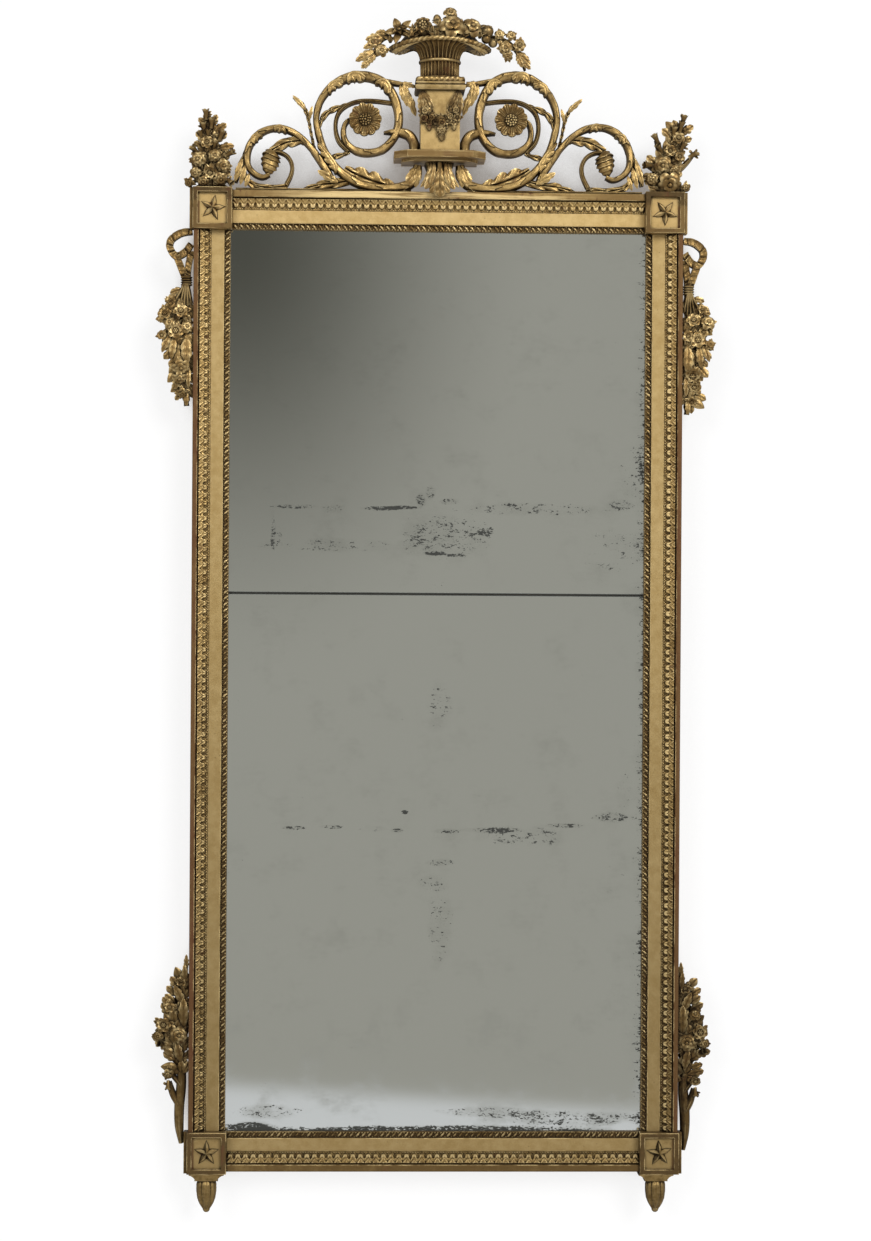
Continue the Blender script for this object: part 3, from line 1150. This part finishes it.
class Finish:
    """A material under construction."""

    def __init__(self, name):
        self.material = bpy.data.materials.new(name)
        self.material.use_nodes = True
        self.tree = self.material.node_tree
        self.tree.nodes.clear()
        self.node = Tone(self.tree, None).node
        self.place = self.node("ShaderNodeTexCoord", outlet="Object")

    def hollows(self, distance, samples=6):
        """How shut in a point is, from 0 in the open to 1 in a deep cut."""
        return 1 - self.node("ShaderNodeAmbientOcclusion", {"samples": samples}, {"Distance": distance}, "AO")

    def geometry(self, outlet):
        return self.node("ShaderNodeNewGeometry", outlet=outlet)

    def ray(self, kind):
        return self.node("ShaderNodeLightPath", outlet=f"Is {kind} Ray")

    def glow(self, tone=WHITE):
        return self.node("ShaderNodeEmission", None, {"Color": tone, "Strength": 1.0})

    def clear(self):
        return self.node("ShaderNodeBsdfTransparent")

    def either(self, amount, first, second):
        """The second shader laid over the first by the amount."""
        return self.node("ShaderNodeMixShader", None, {0: amount, 1: first, 2: second})

    def bump(self, height, strength, distance, **normal):
        inputs = {"Height": height, "Strength": strength, "Distance": distance, **normal}
        return self.node("ShaderNodeBump", None, inputs)

    def plain(self, **inputs):
        """A plain surface; its inputs are named with underscores."""
        named = {key.replace("_", " ").title().replace("Ior", "IOR"): value for key, value in inputs.items()}
        return self.node("ShaderNodeBsdfPrincipled", None, named)

    def close(self, shader):
        """Puts the shader on the material and gives the material back."""
        out = self.tree.nodes.new("ShaderNodeOutputMaterial")
        self.tree.links.new(shader.socket, out.inputs["Surface"])
        return self.material


def looks():
    return bpy.context.scene.mirror_looks


def colour(name, share=1.0):
    """One of the user's colours, darkened to a share of itself."""
    return (*(share * c for c in getattr(looks(), name)), 1.0)


def carved_gilding(name, toned=0.0, light=0.0, bed=None, metal=0.70):
    """Water gilding over red bole on carving: umber in the cuts, rubbed bright on the high edges."""
    f = Finish(name)
    _, y, z = f.place.axes()
    cloud = f.place.noise(9, 3)
    mottle = f.place.noise(85, 6, 0.64)
    grain = f.place.noise(520, 3, 0.6)
    lower = z.ramp(-0.2, -1.75)
    bright = (0.4 * cloud + 0.6 * mottle - 0.4 * toned).ramp(0.36, 0.60)
    leaf = mix(colour("gold_shade"), colour("gold"), bright)
    if light:
        leaf = leaf.blend(colour("gold_light"), mottle.ramp(0.40, 0.60) * light)
    deep, fine = f.hollows(0.020), f.hollows(0.006)
    side, turned, above = f.geometry("Normal").axes()
    flank = (1 + turned).ramp(0.22, 0.95) * (1 - 0.5 * above.ramp(0.72, 1.0))
    dirt = deep * 0.85 + fine * 0.85 + flank * 0.72 + (mottle - 0.5) * 1.0 + 0.35 * toned + 0.12 * lower
    dirt = dirt.ramp(0.27, 0.86)
    if bed:
        lee = (side * -0.85 + above * -0.5).ramp(0.05, 0.55)
        dirt = (dirt * 0.35 + lee * 0.80 + y.ramp(bed - 0.0034, bed - 0.0020)).ramp()
    toning = leaf.blend(colour("umber"), dirt * 0.97)
    edges = f.geometry("Pointiness").ramp(0.50, 0.57)
    worn = edges * (1 - flank * 0.7) * f.place.noise(40, 5).ramp(0.36, 0.60) * (1 - dirt * 0.6)
    rubbed = toning.blend(colour("gold_light"), worn * 0.75)
    bare = (f.place.noise(48, 7, 0.66) * 0.75 + f.place.noise(12, 2) * 0.35).ramp(0.65, 0.71)
    coat = rubbed.blend(colour("bole"), bare * 0.5) * (1 - 0.45 * lower)
    coat = coat.blend(colour("pine", 0.6), turned.ramp(0.35, 0.8) * (0.45 + 0.5 * mottle))
    return f.close(f.plain(
        base_color=coat, metallic=metal * (1 - dirt * 0.8), roughness=0.30 + 0.32 * dirt + 0.14 * mottle,
        specular_ior_level=0.10, normal=f.bump(mottle * 0.6 + grain * 0.4, 0.25, 0.0015)))


def moulded_gilding(name, rubbed=0.0):
    """Gilding on the flat work: clean on the frieze and panels, worn brown on the fillets and quirks."""
    f = Finish(name)
    x, y, z = f.place.axes()
    cloud = f.place.noise(6, 3)
    mottle = f.place.noise(60, 6, 0.62)
    grain = f.place.noise(420, 3, 0.6)
    streak = f.place.noise(34, 7, 0.68, (1.0, 1.0, 0.3))
    frieze = y.near(FRIEZE_FACE, 0.0016)
    face = y.near(PEDESTAL_FACE, 0.0014) * z.ramp(0.12, 0.14)
    clean = (frieze + y.near(PANEL_FACE, 0.0014) * 0.62 + face * 0.60).ramp()
    crown = z.ramp(0.034, 0.040) * z.ramp(0.064, 0.060)
    middle = crown * abs(x + 0.02).ramp(0.36, 0.16)
    ledge = z.ramp(0.034, 0.040) * (1 - face) * (1 - middle)
    proud = y.near(BLOCK_FACE, 0.0018) + ledge * (0.5 - 0.4 * rubbed)
    lower = z.ramp(-0.05, -1.72)
    bright = (0.4 * cloud + 0.5 * mottle + 0.42 * clean).ramp(0.40, 0.74)
    leaf = mix(colour("gold_shade"), colour("gold"), bright)
    glint = (0.5 * mottle + 0.3 * grain + 0.2 * cloud).ramp(0.34, 0.66)
    leaf = leaf.blend(colour("gold_light"), clean * glint * 0.55)
    leaf = leaf * (1.0 - 0.46 * lower) * (1 - 0.17 * (frieze * abs(x).ramp(0.37, 0.39)))
    hollow = f.hollows(0.006)
    dirt = hollow * (1.15 - 0.7 * rubbed) + (mottle - 0.5) * 0.8 + (1 - clean) * 0.22 + proud * 0.34
    dirt = dirt.ramp(0.24, 0.95)
    toning = leaf.blend(colour("umber"), dirt * 0.9)
    scuff = streak.ramp(0.55 - 0.09 * rubbed, 0.64 - 0.07 * rubbed) * (0.3 + 0.7 * cloud.ramp(0.45, 0.62))
    scuff = scuff * (1.1 - 0.85 * clean)
    rim = y.ramp(RIM_FACE + 0.004, RIM_FACE) * y.ramp(BLOCK_FACE, RIM_FACE - 0.002)
    rim = rim * abs(x).ramp(0.438, 0.4405) * (1 - crown)
    red = (scuff * 0.7 + rim * (0.50 + 0.32 * cloud.ramp(0.35, 0.6))).ramp()
    coat = toning.blend(colour("bole"), red - red * rim * 0.15)
    soft = f.node("ShaderNodeBevel", {"samples": 6}, {"Radius": 0.0034}, "Normal")
    pair = {0: soft, 1: f.geometry("True Normal")}
    turn = 1 - f.node("ShaderNodeVectorMath", {"operation": "DOT_PRODUCT"}, pair, "Value")
    arris = turn.ramp(0.01, 0.12) * f.place.noise(26, 6, 0.6).ramp(0.40, 0.58) * (1 - hollow).ramp(0.55, 0.9)
    drawn = f.place.noise(46, 6, 0.65, (0.12, 1.0, 2.2)).ramp(0.40, 0.60)
    caught = (arris * 0.8 + middle * drawn * 0.85 + rubbed * drawn * 0.3).ramp()
    coat = coat.blend(colour("gold_light"), caught)
    pits = f.place.spots(110).ramp(0.11, 0.05) * f.place.noise(30, 3).ramp(0.47, 0.60)
    coat = coat.blend(colour("umber"), pits * 0.75)
    return f.close(f.plain(
        base_color=coat, metallic=0.34 * (1 - dirt * 0.8), roughness=0.42 + 0.22 * dirt + 0.14 * mottle,
        specular_ior_level=0.12, normal=f.bump(mottle * 0.5 + grain * 0.5, 0.2, 0.0012, Normal=soft)))


# Kinds of gilding: what each asks of the carved or the moulded finish
CARVED_GOLD = {
    "carved": {}, "toned": dict(toned=0.22), "shaded": dict(toned=0.64), "deep": dict(toned=1.3),
    "lit": dict(toned=-0.14, light=0.15), "bright": dict(toned=-0.9, light=1.0, metal=0.15),
    "star": dict(toned=-0.8, light=1.0, bed=PANEL_FACE, metal=0.15),
}
MOULDED_GOLD = {"moulded": {}, "rubbed": dict(rubbed=1.0)}


def gold(kind):
    """The gilding of that kind, made the first time it is asked for."""
    name = f"{kind}_gilding"
    if name in bpy.data.materials:
        return bpy.data.materials[name]
    if kind in CARVED_GOLD:
        return carved_gilding(name, **CARVED_GOLD[kind])
    return moulded_gilding(name, **MOULDED_GOLD[kind])


# Foxed places on the plates: (x, z, half width, half height, amount)
FOXED = ((-0.265, -0.521, 0.055, 0.006, 1.25), (-0.19, -0.525, 0.03, 0.010, 0.9),
         (-0.104, -0.5235, 0.046, 0.0055, 1.6), (-0.064, -0.5215, 0.040, 0.0045, 1.6),
         (-0.030, -0.508, 0.012, 0.016, 1.25), (-0.012, -0.494, 0.012, 0.016, 1.1),
         (0.022, -0.510, 0.024, 0.008, 1.35), (0.020, -0.572, 0.115, 0.055, 0.98),
         (-0.004, -0.606, 0.026, 0.005, 1.0), (0.034, -0.609, 0.024, 0.004, 0.95),
         (-0.302, -0.565, 0.006, 0.060, 0.68), (-0.294, -0.570, 0.018, 0.020, 0.86),
         (0.340, -0.515, 0.030, 0.014, 1.1), (0.175, -0.523, 0.17, 0.016, 0.92),
         (0.092, -0.565, 0.020, 0.010, 0.78), (-0.20, -0.592, 0.19, 0.016, 0.80),
         (0.320, -0.600, 0.07, 0.06, 0.72), (0.0, -0.660, 0.03, 0.012, 0.7), (0.36, -0.45, 0.03, 0.06, 0.6),
         (0.006, -0.885, 0.030, 0.055, 0.85), (-0.26, -1.113, 0.03, 0.005, 1.25),
         (-0.19, -1.111, 0.03, 0.005, 1.2), (-0.12, -1.114, 0.04, 0.008, 0.95),
         (-0.07, -1.117, 0.016, 0.005, 1.2), (0.02, -1.118, 0.03, 0.006, 1.1),
         (0.10, -1.116, 0.06, 0.007, 1.0), (0.16, -1.128, 0.10, 0.026, 0.98),
         (0.24, -1.107, 0.05, 0.006, 1.15), (0.33, -1.092, 0.05, 0.012, 1.1),
         (-0.056, -1.083, 0.009, 0.005, 1.7), (0.01, -1.176, 0.034, 0.008, 1.15),
         (0.0, -1.215, 0.04, 0.02, 0.8), (0.01, -1.29, 0.03, 0.09, 0.8), (0.35, -1.04, 0.02, 0.05, 0.6),
         (-0.34, -1.664, 0.06, 0.012, 1.7), (-0.30, -1.636, 0.09, 0.016, 0.95),
         (0.10, -1.636, 0.12, 0.012, 1.0), (0.25, -1.648, 0.16, 0.018, 1.12),
         (0.0, -1.670, 0.42, 0.012, 1.75))


def silvering():
    """Old mercury silvering: hazed in clouds, foxed in streaks and specks and lost along the lower edge."""
    f = Finish("mirror_silvering")
    x, _, z = f.place.axes()
    fine = f.place.noise(390, 4, 0.62, (0.6, 1.0, 1.1))
    patch = f.place.noise(96, 6, 0.7, (0.5, 1.0, 1.4))
    broad = f.place.noise(14, 5, 0.6)
    zone = x.ramp(0.356, 0.384) * 1.05 + x.ramp(-0.372, -0.390) * 0.6
    for px, pz, wide, tall, amount in FOXED:
        zone = zone + (1 - ((x - px) / wide) ** 2 - ((z - pz) / tall) ** 2).ramp(0.0, 0.8) * amount
    fox = (0.5 * fine + 0.5 * patch + (broad - 0.5) * 0.10 + zone * 0.125 * looks().foxing).ramp(0.672, 0.682)
    seam = z.near(SEAM, 0.0045).ramp(0.2, 0.5)
    haze = (broad * 0.7 + patch * 0.2 + zone * 0.12).ramp(0.44, 0.76)
    lost = (fox + seam).ramp()
    coat = mix(colour("silver"), colour("silver_haze"), haze * 0.5).blend(colour("foxed"), lost * 0.97)
    rough = 0.04 + haze * 0.10 + fox * 0.4
    return f.close(f.plain(base_color=coat, metallic=1.0 - lost, roughness=rough, specular_ior_level=0.1))


def planed_wood(name, base, share, along):
    """Bare wood with its grain along one axis, gone brown with age; share darkens its grain."""
    f = Finish(name)
    stretch = tuple(0.06 if axis == along else 1.0 for axis in "xyz")
    figure = f.place.noise(60, 6, 0.6, stretch)
    lines = f.place.noise(300, 3, 0.6, stretch)
    stain = f.place.noise(6, 5, 0.6)
    tone = mix(colour(base), colour(base, share), (figure * 0.65 + lines * 0.35).ramp(0.38, 0.64))
    tone = tone.blend(colour("umber"), (stain * 0.7 + f.hollows(0.02) * 0.6).ramp(0.5, 0.9) * 0.6)
    return f.close(f.plain(base_color=tone, roughness=0.72 + 0.2 * figure, normal=f.bump(lines, 0.3, 0.001)))


def old_metal(name, base, tarnish, roughness):
    """Worked metal, tarnished in patches."""
    f = Finish(name)
    patch = f.place.noise(140, 6, 0.65)
    tone = mix(colour(base), (*tarnish, 1.0), (patch + f.hollows(0.006) * 0.5).ramp(0.42, 0.7))
    return f.close(f.plain(base_color=tone, metallic=0.9 - 0.4 * patch, roughness=roughness + 0.25 * patch,
                           normal=f.bump(patch, 0.2, 0.0008)))


# Sizes and colours a user would change


def tint(name, description, value):
    return bpy.props.FloatVectorProperty(name=name, description=description, default=value, min=0, max=1,
                                         subtype="COLOR", size=3)


def a_number(name, description, value, low, high, **kind):
    return bpy.props.FloatProperty(name=name, description=description, default=value, min=low, max=high,
                                   **kind)


def a_length(name, description, value, low, high):
    return a_number(name, description, value, low, high, unit="LENGTH")


def a_count(name, description, value, low, high):
    return bpy.props.IntProperty(name=name, description=description, default=value, min=low, max=high)


class MirrorLooks(bpy.types.PropertyGroup):
    gold: tint("Gold", "Gold leaf in the open", (0.520, 0.350, 0.132))
    gold_light: tint("Rubbed gold", "Gold where it catches the light", (0.80, 0.60, 0.285))
    gold_shade: tint("Toned gold", "Gold under old size and dust", (0.225, 0.137, 0.048))
    umber: tint("Umber", "Dirt lying in the hollows", (0.022, 0.012, 0.005))
    bole: tint("Bole", "Red clay ground under the leaf", (0.115, 0.046, 0.022))
    silver: tint("Silvering", "Mirror plate where it is sound", (0.76, 0.80, 0.75))
    silver_haze: tint("Hazed silvering", "Mirror plate where it has clouded", (0.58, 0.61, 0.56))
    foxed: tint("Foxing", "Mirror plate where the silvering is lost", (0.030, 0.030, 0.026))
    pine: tint("Pine", "Boards and battens at the back", (0.42, 0.27, 0.14))
    oak: tint("Oak", "Pegs in the corner joints", (0.22, 0.13, 0.06))
    iron: tint("Iron", "Nails and screws", (0.10, 0.09, 0.085))
    brass: tint("Brass", "Ring hangers", (0.52, 0.36, 0.13))
    foxing: a_number("Foxing", "How far the silvering has gone", 1.0, 0, 2, subtype="FACTOR")


class MirrorCarving(bpy.types.PropertyGroup):
    leaf_pitch: a_length("Leaf pitch", "From one leaf tip to the next on the moulding", 0.0142, 0.006, 0.05)
    bead_pitch: a_length("Bead pitch", "From one bead to the next", 0.0112, 0.005, 0.03)
    sheath_pitch: a_number("Sheath", "Length of a leaf sheath on a stem, in millimetres", 48.0, 15, 160)
    rope_pitch: a_length("Rope pitch", "Length of one strand of the rope", 0.0095, 0.004, 0.03)
    rosette_petals: a_count("Rosette petals", "Petals round each rosette", 11, 5, 20)
    foot_leaves: a_count("Foot leaves", "Leaves wrapped round each foot", 6, 3, 12)


class MirrorStage(bpy.types.PropertyGroup):
    distance: a_length("Camera distance", "Camera to the face of the frame", 5.5, 1, 20)
    sideways: a_length("Camera offset", "Camera to the left of the middle", 0.19, -2, 2)
    view_height: a_length("View height", "Height of the picture's area", 2.2817, 0.5, 6)
    middle: a_length("View middle", "Height the camera looks at", -0.7295, -3, 3)
    tilt: a_number("Camera tilt", "Camera's lean", math.radians(0.37), -0.5, 0.5, subtype="ANGLE")
    floor_drop: a_length("Floor drop", "Floor below the feet", 0.08, 0, 1)
    sun: a_number("Key light", "Strength of the soft key light", 2.3, 0, 10)
    sky: a_number("Fill light", "Strength of the light from all round", 0.46, 0, 2)


def cuts():
    return bpy.context.scene.mirror_carving


def dress(nodes, finish):
    """Puts a finish on frame nodes that show as they are."""
    for name in nodes:
        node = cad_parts[name]
        node.data.materials.clear()
        node.data.materials.append(finish)


# Operators


class MIRROR_OT_mouldings(bpy.types.Operator):
    """Gild the flat mouldings, corner blocks, pedestal and shelf, and carve the stars"""
    bl_idname = "mirror.mouldings"
    bl_label = "Gild mouldings"

    def execute(self, context):
        flat = [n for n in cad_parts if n.startswith(("moulding_", "corner_block_"))]
        dress(flat + ["pedestal"], gold("moulded"))
        dress(["shelf"], gold("rubbed"))
        carve_stars(gold("star"))
        return {"FINISHED"}


class MIRROR_OT_leaf_strips(bpy.types.Operator):
    """Carve the leaf-tip strips"""
    bl_idname = "mirror.leaf_strips"
    bl_label = "Carve leaf strips"

    def execute(self, context):
        for side in RUNS:
            ground, tips = "carved" if side == "right" else "lit", "lit" if side == "left" else "bright"
            carve_leaf_strip(side, cuts(), gold(ground), gold(tips))
        return {"FINISHED"}


class MIRROR_OT_bead_strips(bpy.types.Operator):
    """Carve the beading round the glass"""
    bl_idname = "mirror.bead_strips"
    bl_label = "Carve beading"

    def execute(self, context):
        for side in RUNS:
            carve_bead_strip(side, cuts(), gold("toned"))
        return {"FINISHED"}


class MIRROR_OT_scrolls(bpy.types.Operator):
    """Carve the two large crest scrolls and their rosettes"""
    bl_idname = "mirror.scrolls"
    bl_label = "Carve scrolls"

    def execute(self, context):
        for name in SIDES:
            carve_scroll(name, cuts(), gold("carved"))
            carve_rosette(name, cuts(), gold("toned"))
        return {"FINISHED"}


class MIRROR_OT_wings(bpy.types.Operator):
    """Carve the two outer scrolls with their buds"""
    bl_idname = "mirror.wings"
    bl_label = "Carve wings"

    def execute(self, context):
        for name in SIDES:
            carve_wing(name, cuts(), gold("carved"))
        return {"FINISHED"}


class MIRROR_OT_pedestal(bpy.types.Operator):
    """Carve the pedestal's cap and swag, and the bracket under the shelf"""
    bl_idname = "mirror.pedestal"
    bl_label = "Carve pedestal"

    def execute(self, context):
        carve_cap(cuts(), gold("carved"))
        carve_swag(gold("deep"))
        carve_bracket(gold("toned"))
        return {"FINISHED"}


class MIRROR_OT_basket(bpy.types.Operator):
    """Carve the basket, its flowers and the trails that hang from it"""
    bl_idname = "mirror.basket"
    bl_label = "Carve basket"

    def execute(self, context):
        weave_basket(cuts(), gold("toned"), gold("bright"))
        fill_basket(gold("shaded"))
        for name in SIDES:
            carve_trail(name, gold("toned"))
        return {"FINISHED"}


class MIRROR_OT_sprays(bpy.types.Operator):
    """Carve the corner bouquets and the sprays down both sides"""
    bl_idname = "mirror.sprays"
    bl_label = "Carve sprays"

    def execute(self, context):
        for name in SIDES:
            carve_bouquet(name, gold("shaded"))
            carve_drop(name, gold("toned"))
            carve_riser(name, gold("shaded" if name == "right" else "toned"))
        return {"FINISHED"}


class MIRROR_OT_feet(bpy.types.Operator):
    """Carve the two feet"""
    bl_idname = "mirror.feet"
    bl_label = "Carve feet"

    def execute(self, context):
        for name in SIDES:
            carve_foot(name, cuts(), gold("carved"))
        return {"FINISHED"}


class MIRROR_OT_plates(bpy.types.Operator):
    """Silver the two mirror plates"""
    bl_idname = "mirror.plates"
    bl_label = "Silver plates"

    def execute(self, context):
        dress(["mirror_plate_upper", "mirror_plate_lower"], silvering())
        return {"FINISHED"}


class MIRROR_OT_back(bpy.types.Operator):
    """Finish the carcass, boards, fastenings and hangers at the back"""
    bl_idname = "mirror.back"
    bl_label = "Finish back"

    def execute(self, context):
        dress(["carcass_stile_left", "carcass_stile_right", "carcass_muntin", "crest_strap",
               "backboard_upper", "backboard_lower"], planed_wood("pine_upright", "pine", 0.45, "z"))
        dress(["carcass_rail_top", "carcass_rail_bottom", "wall_batten_top", "wall_batten_bottom",
               "glazing_blocks"], planed_wood("pine_level", "pine", 0.45, "x"))
        dress(["carcass_pegs"], planed_wood("oak_peg_wood", "oak", 0.5, "y"))
        dress(["back_screws", "backboard_nails"],
              old_metal("rusted_iron", "iron", (0.12, 0.05, 0.025), 0.5))
        dress(["hanger_plate_left", "hanger_plate_right", "hanger_ring_left", "hanger_ring_right"],
              old_metal("aged_brass_metal", "brass", (0.16, 0.10, 0.04), 0.34))
        return {"FINISHED"}


# Stage: half the width of the floor and wall, the wall's distance behind the mirror, and the room in front
STAGE_HALF, WALL_GAP = 9, 0.002
ROOM_HALF, ROOM_FRONT, ROOM_LOW, ROOM_HIGH = 1.6, -6.6, -3.6, 2.2
VIEW_TARGET = (-0.002, -0.065)
KEYS = (("key_right", 0.66, (-0.48, 0.80, -0.44)), ("key_left", 0.34, (0.50, 0.80, -0.40)))
KEY_SPREAD = math.radians(26)


def oblong(start, end, low, high):
    """Corners in order round an oblong."""
    return (start, low), (end, low), (end, high), (start, high)


def board(name, corners, finish):
    """A flat board of the stage."""
    mesh = bpy.data.meshes.new(name)
    mesh.from_pydata(corners, [], [tuple(range(len(corners)))])
    mesh.materials.append(finish)
    made = bpy.data.objects.new(name, mesh)
    bpy.context.scene.collection.objects.link(made)
    made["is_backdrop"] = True


def pale_floor():
    """A pale floor that the mirror plates do not pick up."""
    f = Finish("floor_pale")
    tone = mix((0.9, 0.9, 0.9, 1), (0.885, 0.885, 0.885, 1), f.place.noise(3, 2))
    white = f.either(0.7 * f.ray("Camera"), f.plain(base_color=tone, roughness=0.8), f.glow())
    return f.close(f.either(f.ray("Glossy"), white, f.clear()))


def one_way_wall():
    """A white wall, grey only where the carving shuts it in, that the camera sees from the front."""
    f = Finish("wall_white")
    shut = f.hollows(0.11, 24).ramp(0.48, 0.74) * f.place.axes()[2].ramp(0.29, 0.20)
    tone = mix(WHITE, (0.34, 0.31, 0.28, 1), shut)
    white = f.either(0.8, f.node("ShaderNodeBsdfDiffuse", None, {"Color": tone}), f.glow(tone))
    return f.close(f.either(f.ray("Camera") * (1 - f.geometry("Backfacing")), f.clear(), white))


def dim_room():
    """The room that the plates reflect: darker at the upper left, paler below, unseen by the camera."""
    f = Finish("room_dim")
    x, _, z = f.place.axes()
    away = (((x + 0.60) / 0.68) ** 2 + (z - 0.86) ** 2) ** 0.5
    tone = mix((0.083, 0.080, 0.070, 1), (0.372, 0.356, 0.332, 1), away.ramp(0.0, 1.93))
    tone = tone.blend((0.68, 0.67, 0.71, 1), (z + 0.0626 * x).ramp(-2.600, -2.690))
    return f.close(f.either(f.ray("Glossy"), f.clear(), f.glow(tone)))


class MIRROR_OT_stage(bpy.types.Operator):
    """Set the wall, floor, light and camera"""
    bl_idname = "mirror.stage"
    bl_label = "Set stage"

    def execute(self, context):
        scene, stage = context.scene, context.scene.mirror_stage
        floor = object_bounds()[0].z - stage.floor_drop
        ground = oblong(-STAGE_HALF, STAGE_HALF, -STAGE_HALF, STAGE_HALF)
        board("floor", [(x, y, floor) for x, y in ground], pale_floor())
        upright = oblong(-STAGE_HALF, STAGE_HALF, floor, STAGE_HALF)
        board("wall", [(x, WALL_GAP, z) for x, z in upright], one_way_wall())
        facing = oblong(ROOM_HALF, -ROOM_HALF, ROOM_LOW, ROOM_HIGH)
        board("room", [(x, ROOM_FRONT, z) for x, z in facing], dim_room())
        for name, share, aim in KEYS:
            lamp = bpy.data.lights.new(name, "SUN")
            lamp.energy, lamp.angle = stage.sun * share, KEY_SPREAD
            key = bpy.data.objects.new(name, lamp)
            key.rotation_mode = "QUATERNION"
            key.rotation_quaternion = Vector(aim).to_track_quat("-Z", "Y")
            scene.collection.objects.link(key)
            key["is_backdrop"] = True
        world = scene.world or bpy.data.worlds.new("world")
        scene.world = world
        world.use_nodes = True
        tree = world.node_tree
        tree.nodes.clear()
        start = Tone(tree, None)
        sky = start.node("ShaderNodeBackground", None, {"Color": WHITE, "Strength": stage.sky})
        white = start.node("ShaderNodeBackground", None, {"Color": WHITE, "Strength": 1.0})
        seen = start.node("ShaderNodeLightPath", outlet="Is Camera Ray")
        both = start.node("ShaderNodeMixShader", None, {0: seen, 1: sky, 2: white})
        tree.links.new(both.socket, tree.nodes.new("ShaderNodeOutputWorld").inputs["Surface"])
        scene.view_settings.view_transform = "Standard"
        camera = bpy.data.objects.new("camera", bpy.data.cameras.new("camera"))
        scene.collection.objects.link(camera)
        target = Vector((*VIEW_TARGET, stage.middle))
        camera.location = target + Vector((-stage.sideways, -stage.distance, 0))
        camera.rotation_mode = "QUATERNION"
        lean = Quaternion((0, 0, 1), stage.tilt)
        camera.rotation_quaternion = (target - camera.location).to_track_quat("-Z", "Y") @ lean
        camera.data.lens = camera.data.sensor_width * stage.distance / stage.view_height
        scene.camera = camera
        return {"FINISHED"}


class MIRROR_PT_panel(bpy.types.Panel):
    bl_idname = "MIRROR_PT_panel"
    bl_label = "Giltwood mirror"
    bl_space_type = "VIEW_3D"
    bl_region_type = "UI"
    bl_category = "Mirror"

    def draw(self, context):
        for group in (getattr(context.scene, name) for name in GROUPS):
            for name in group.__annotations__:
                self.layout.prop(group, name)
        for step in STEPS:
            self.layout.operator(step.bl_idname)


STEPS = (MIRROR_OT_mouldings, MIRROR_OT_leaf_strips, MIRROR_OT_bead_strips, MIRROR_OT_scrolls,
         MIRROR_OT_wings, MIRROR_OT_pedestal, MIRROR_OT_basket, MIRROR_OT_sprays, MIRROR_OT_feet,
         MIRROR_OT_plates, MIRROR_OT_back, MIRROR_OT_stage)
GROUPS = {"mirror_looks": MirrorLooks, "mirror_carving": MirrorCarving, "mirror_stage": MirrorStage}


def register():
    for cls in (*GROUPS.values(), *STEPS, MIRROR_PT_panel):
        bpy.utils.register_class(cls)
    for name, group in GROUPS.items():
        setattr(bpy.types.Scene, name, bpy.props.PointerProperty(type=group))


def unregister():
    for name in GROUPS:
        delattr(bpy.types.Scene, name)
    for cls in (MIRROR_PT_panel, *reversed(STEPS), *GROUPS.values()):
        bpy.utils.unregister_class(cls)


def main():
    register()
    for step in STEPS:
        getattr(bpy.ops.mirror, step.bl_idname.split(".")[1])()


if __name__ == "__main__":
    main()
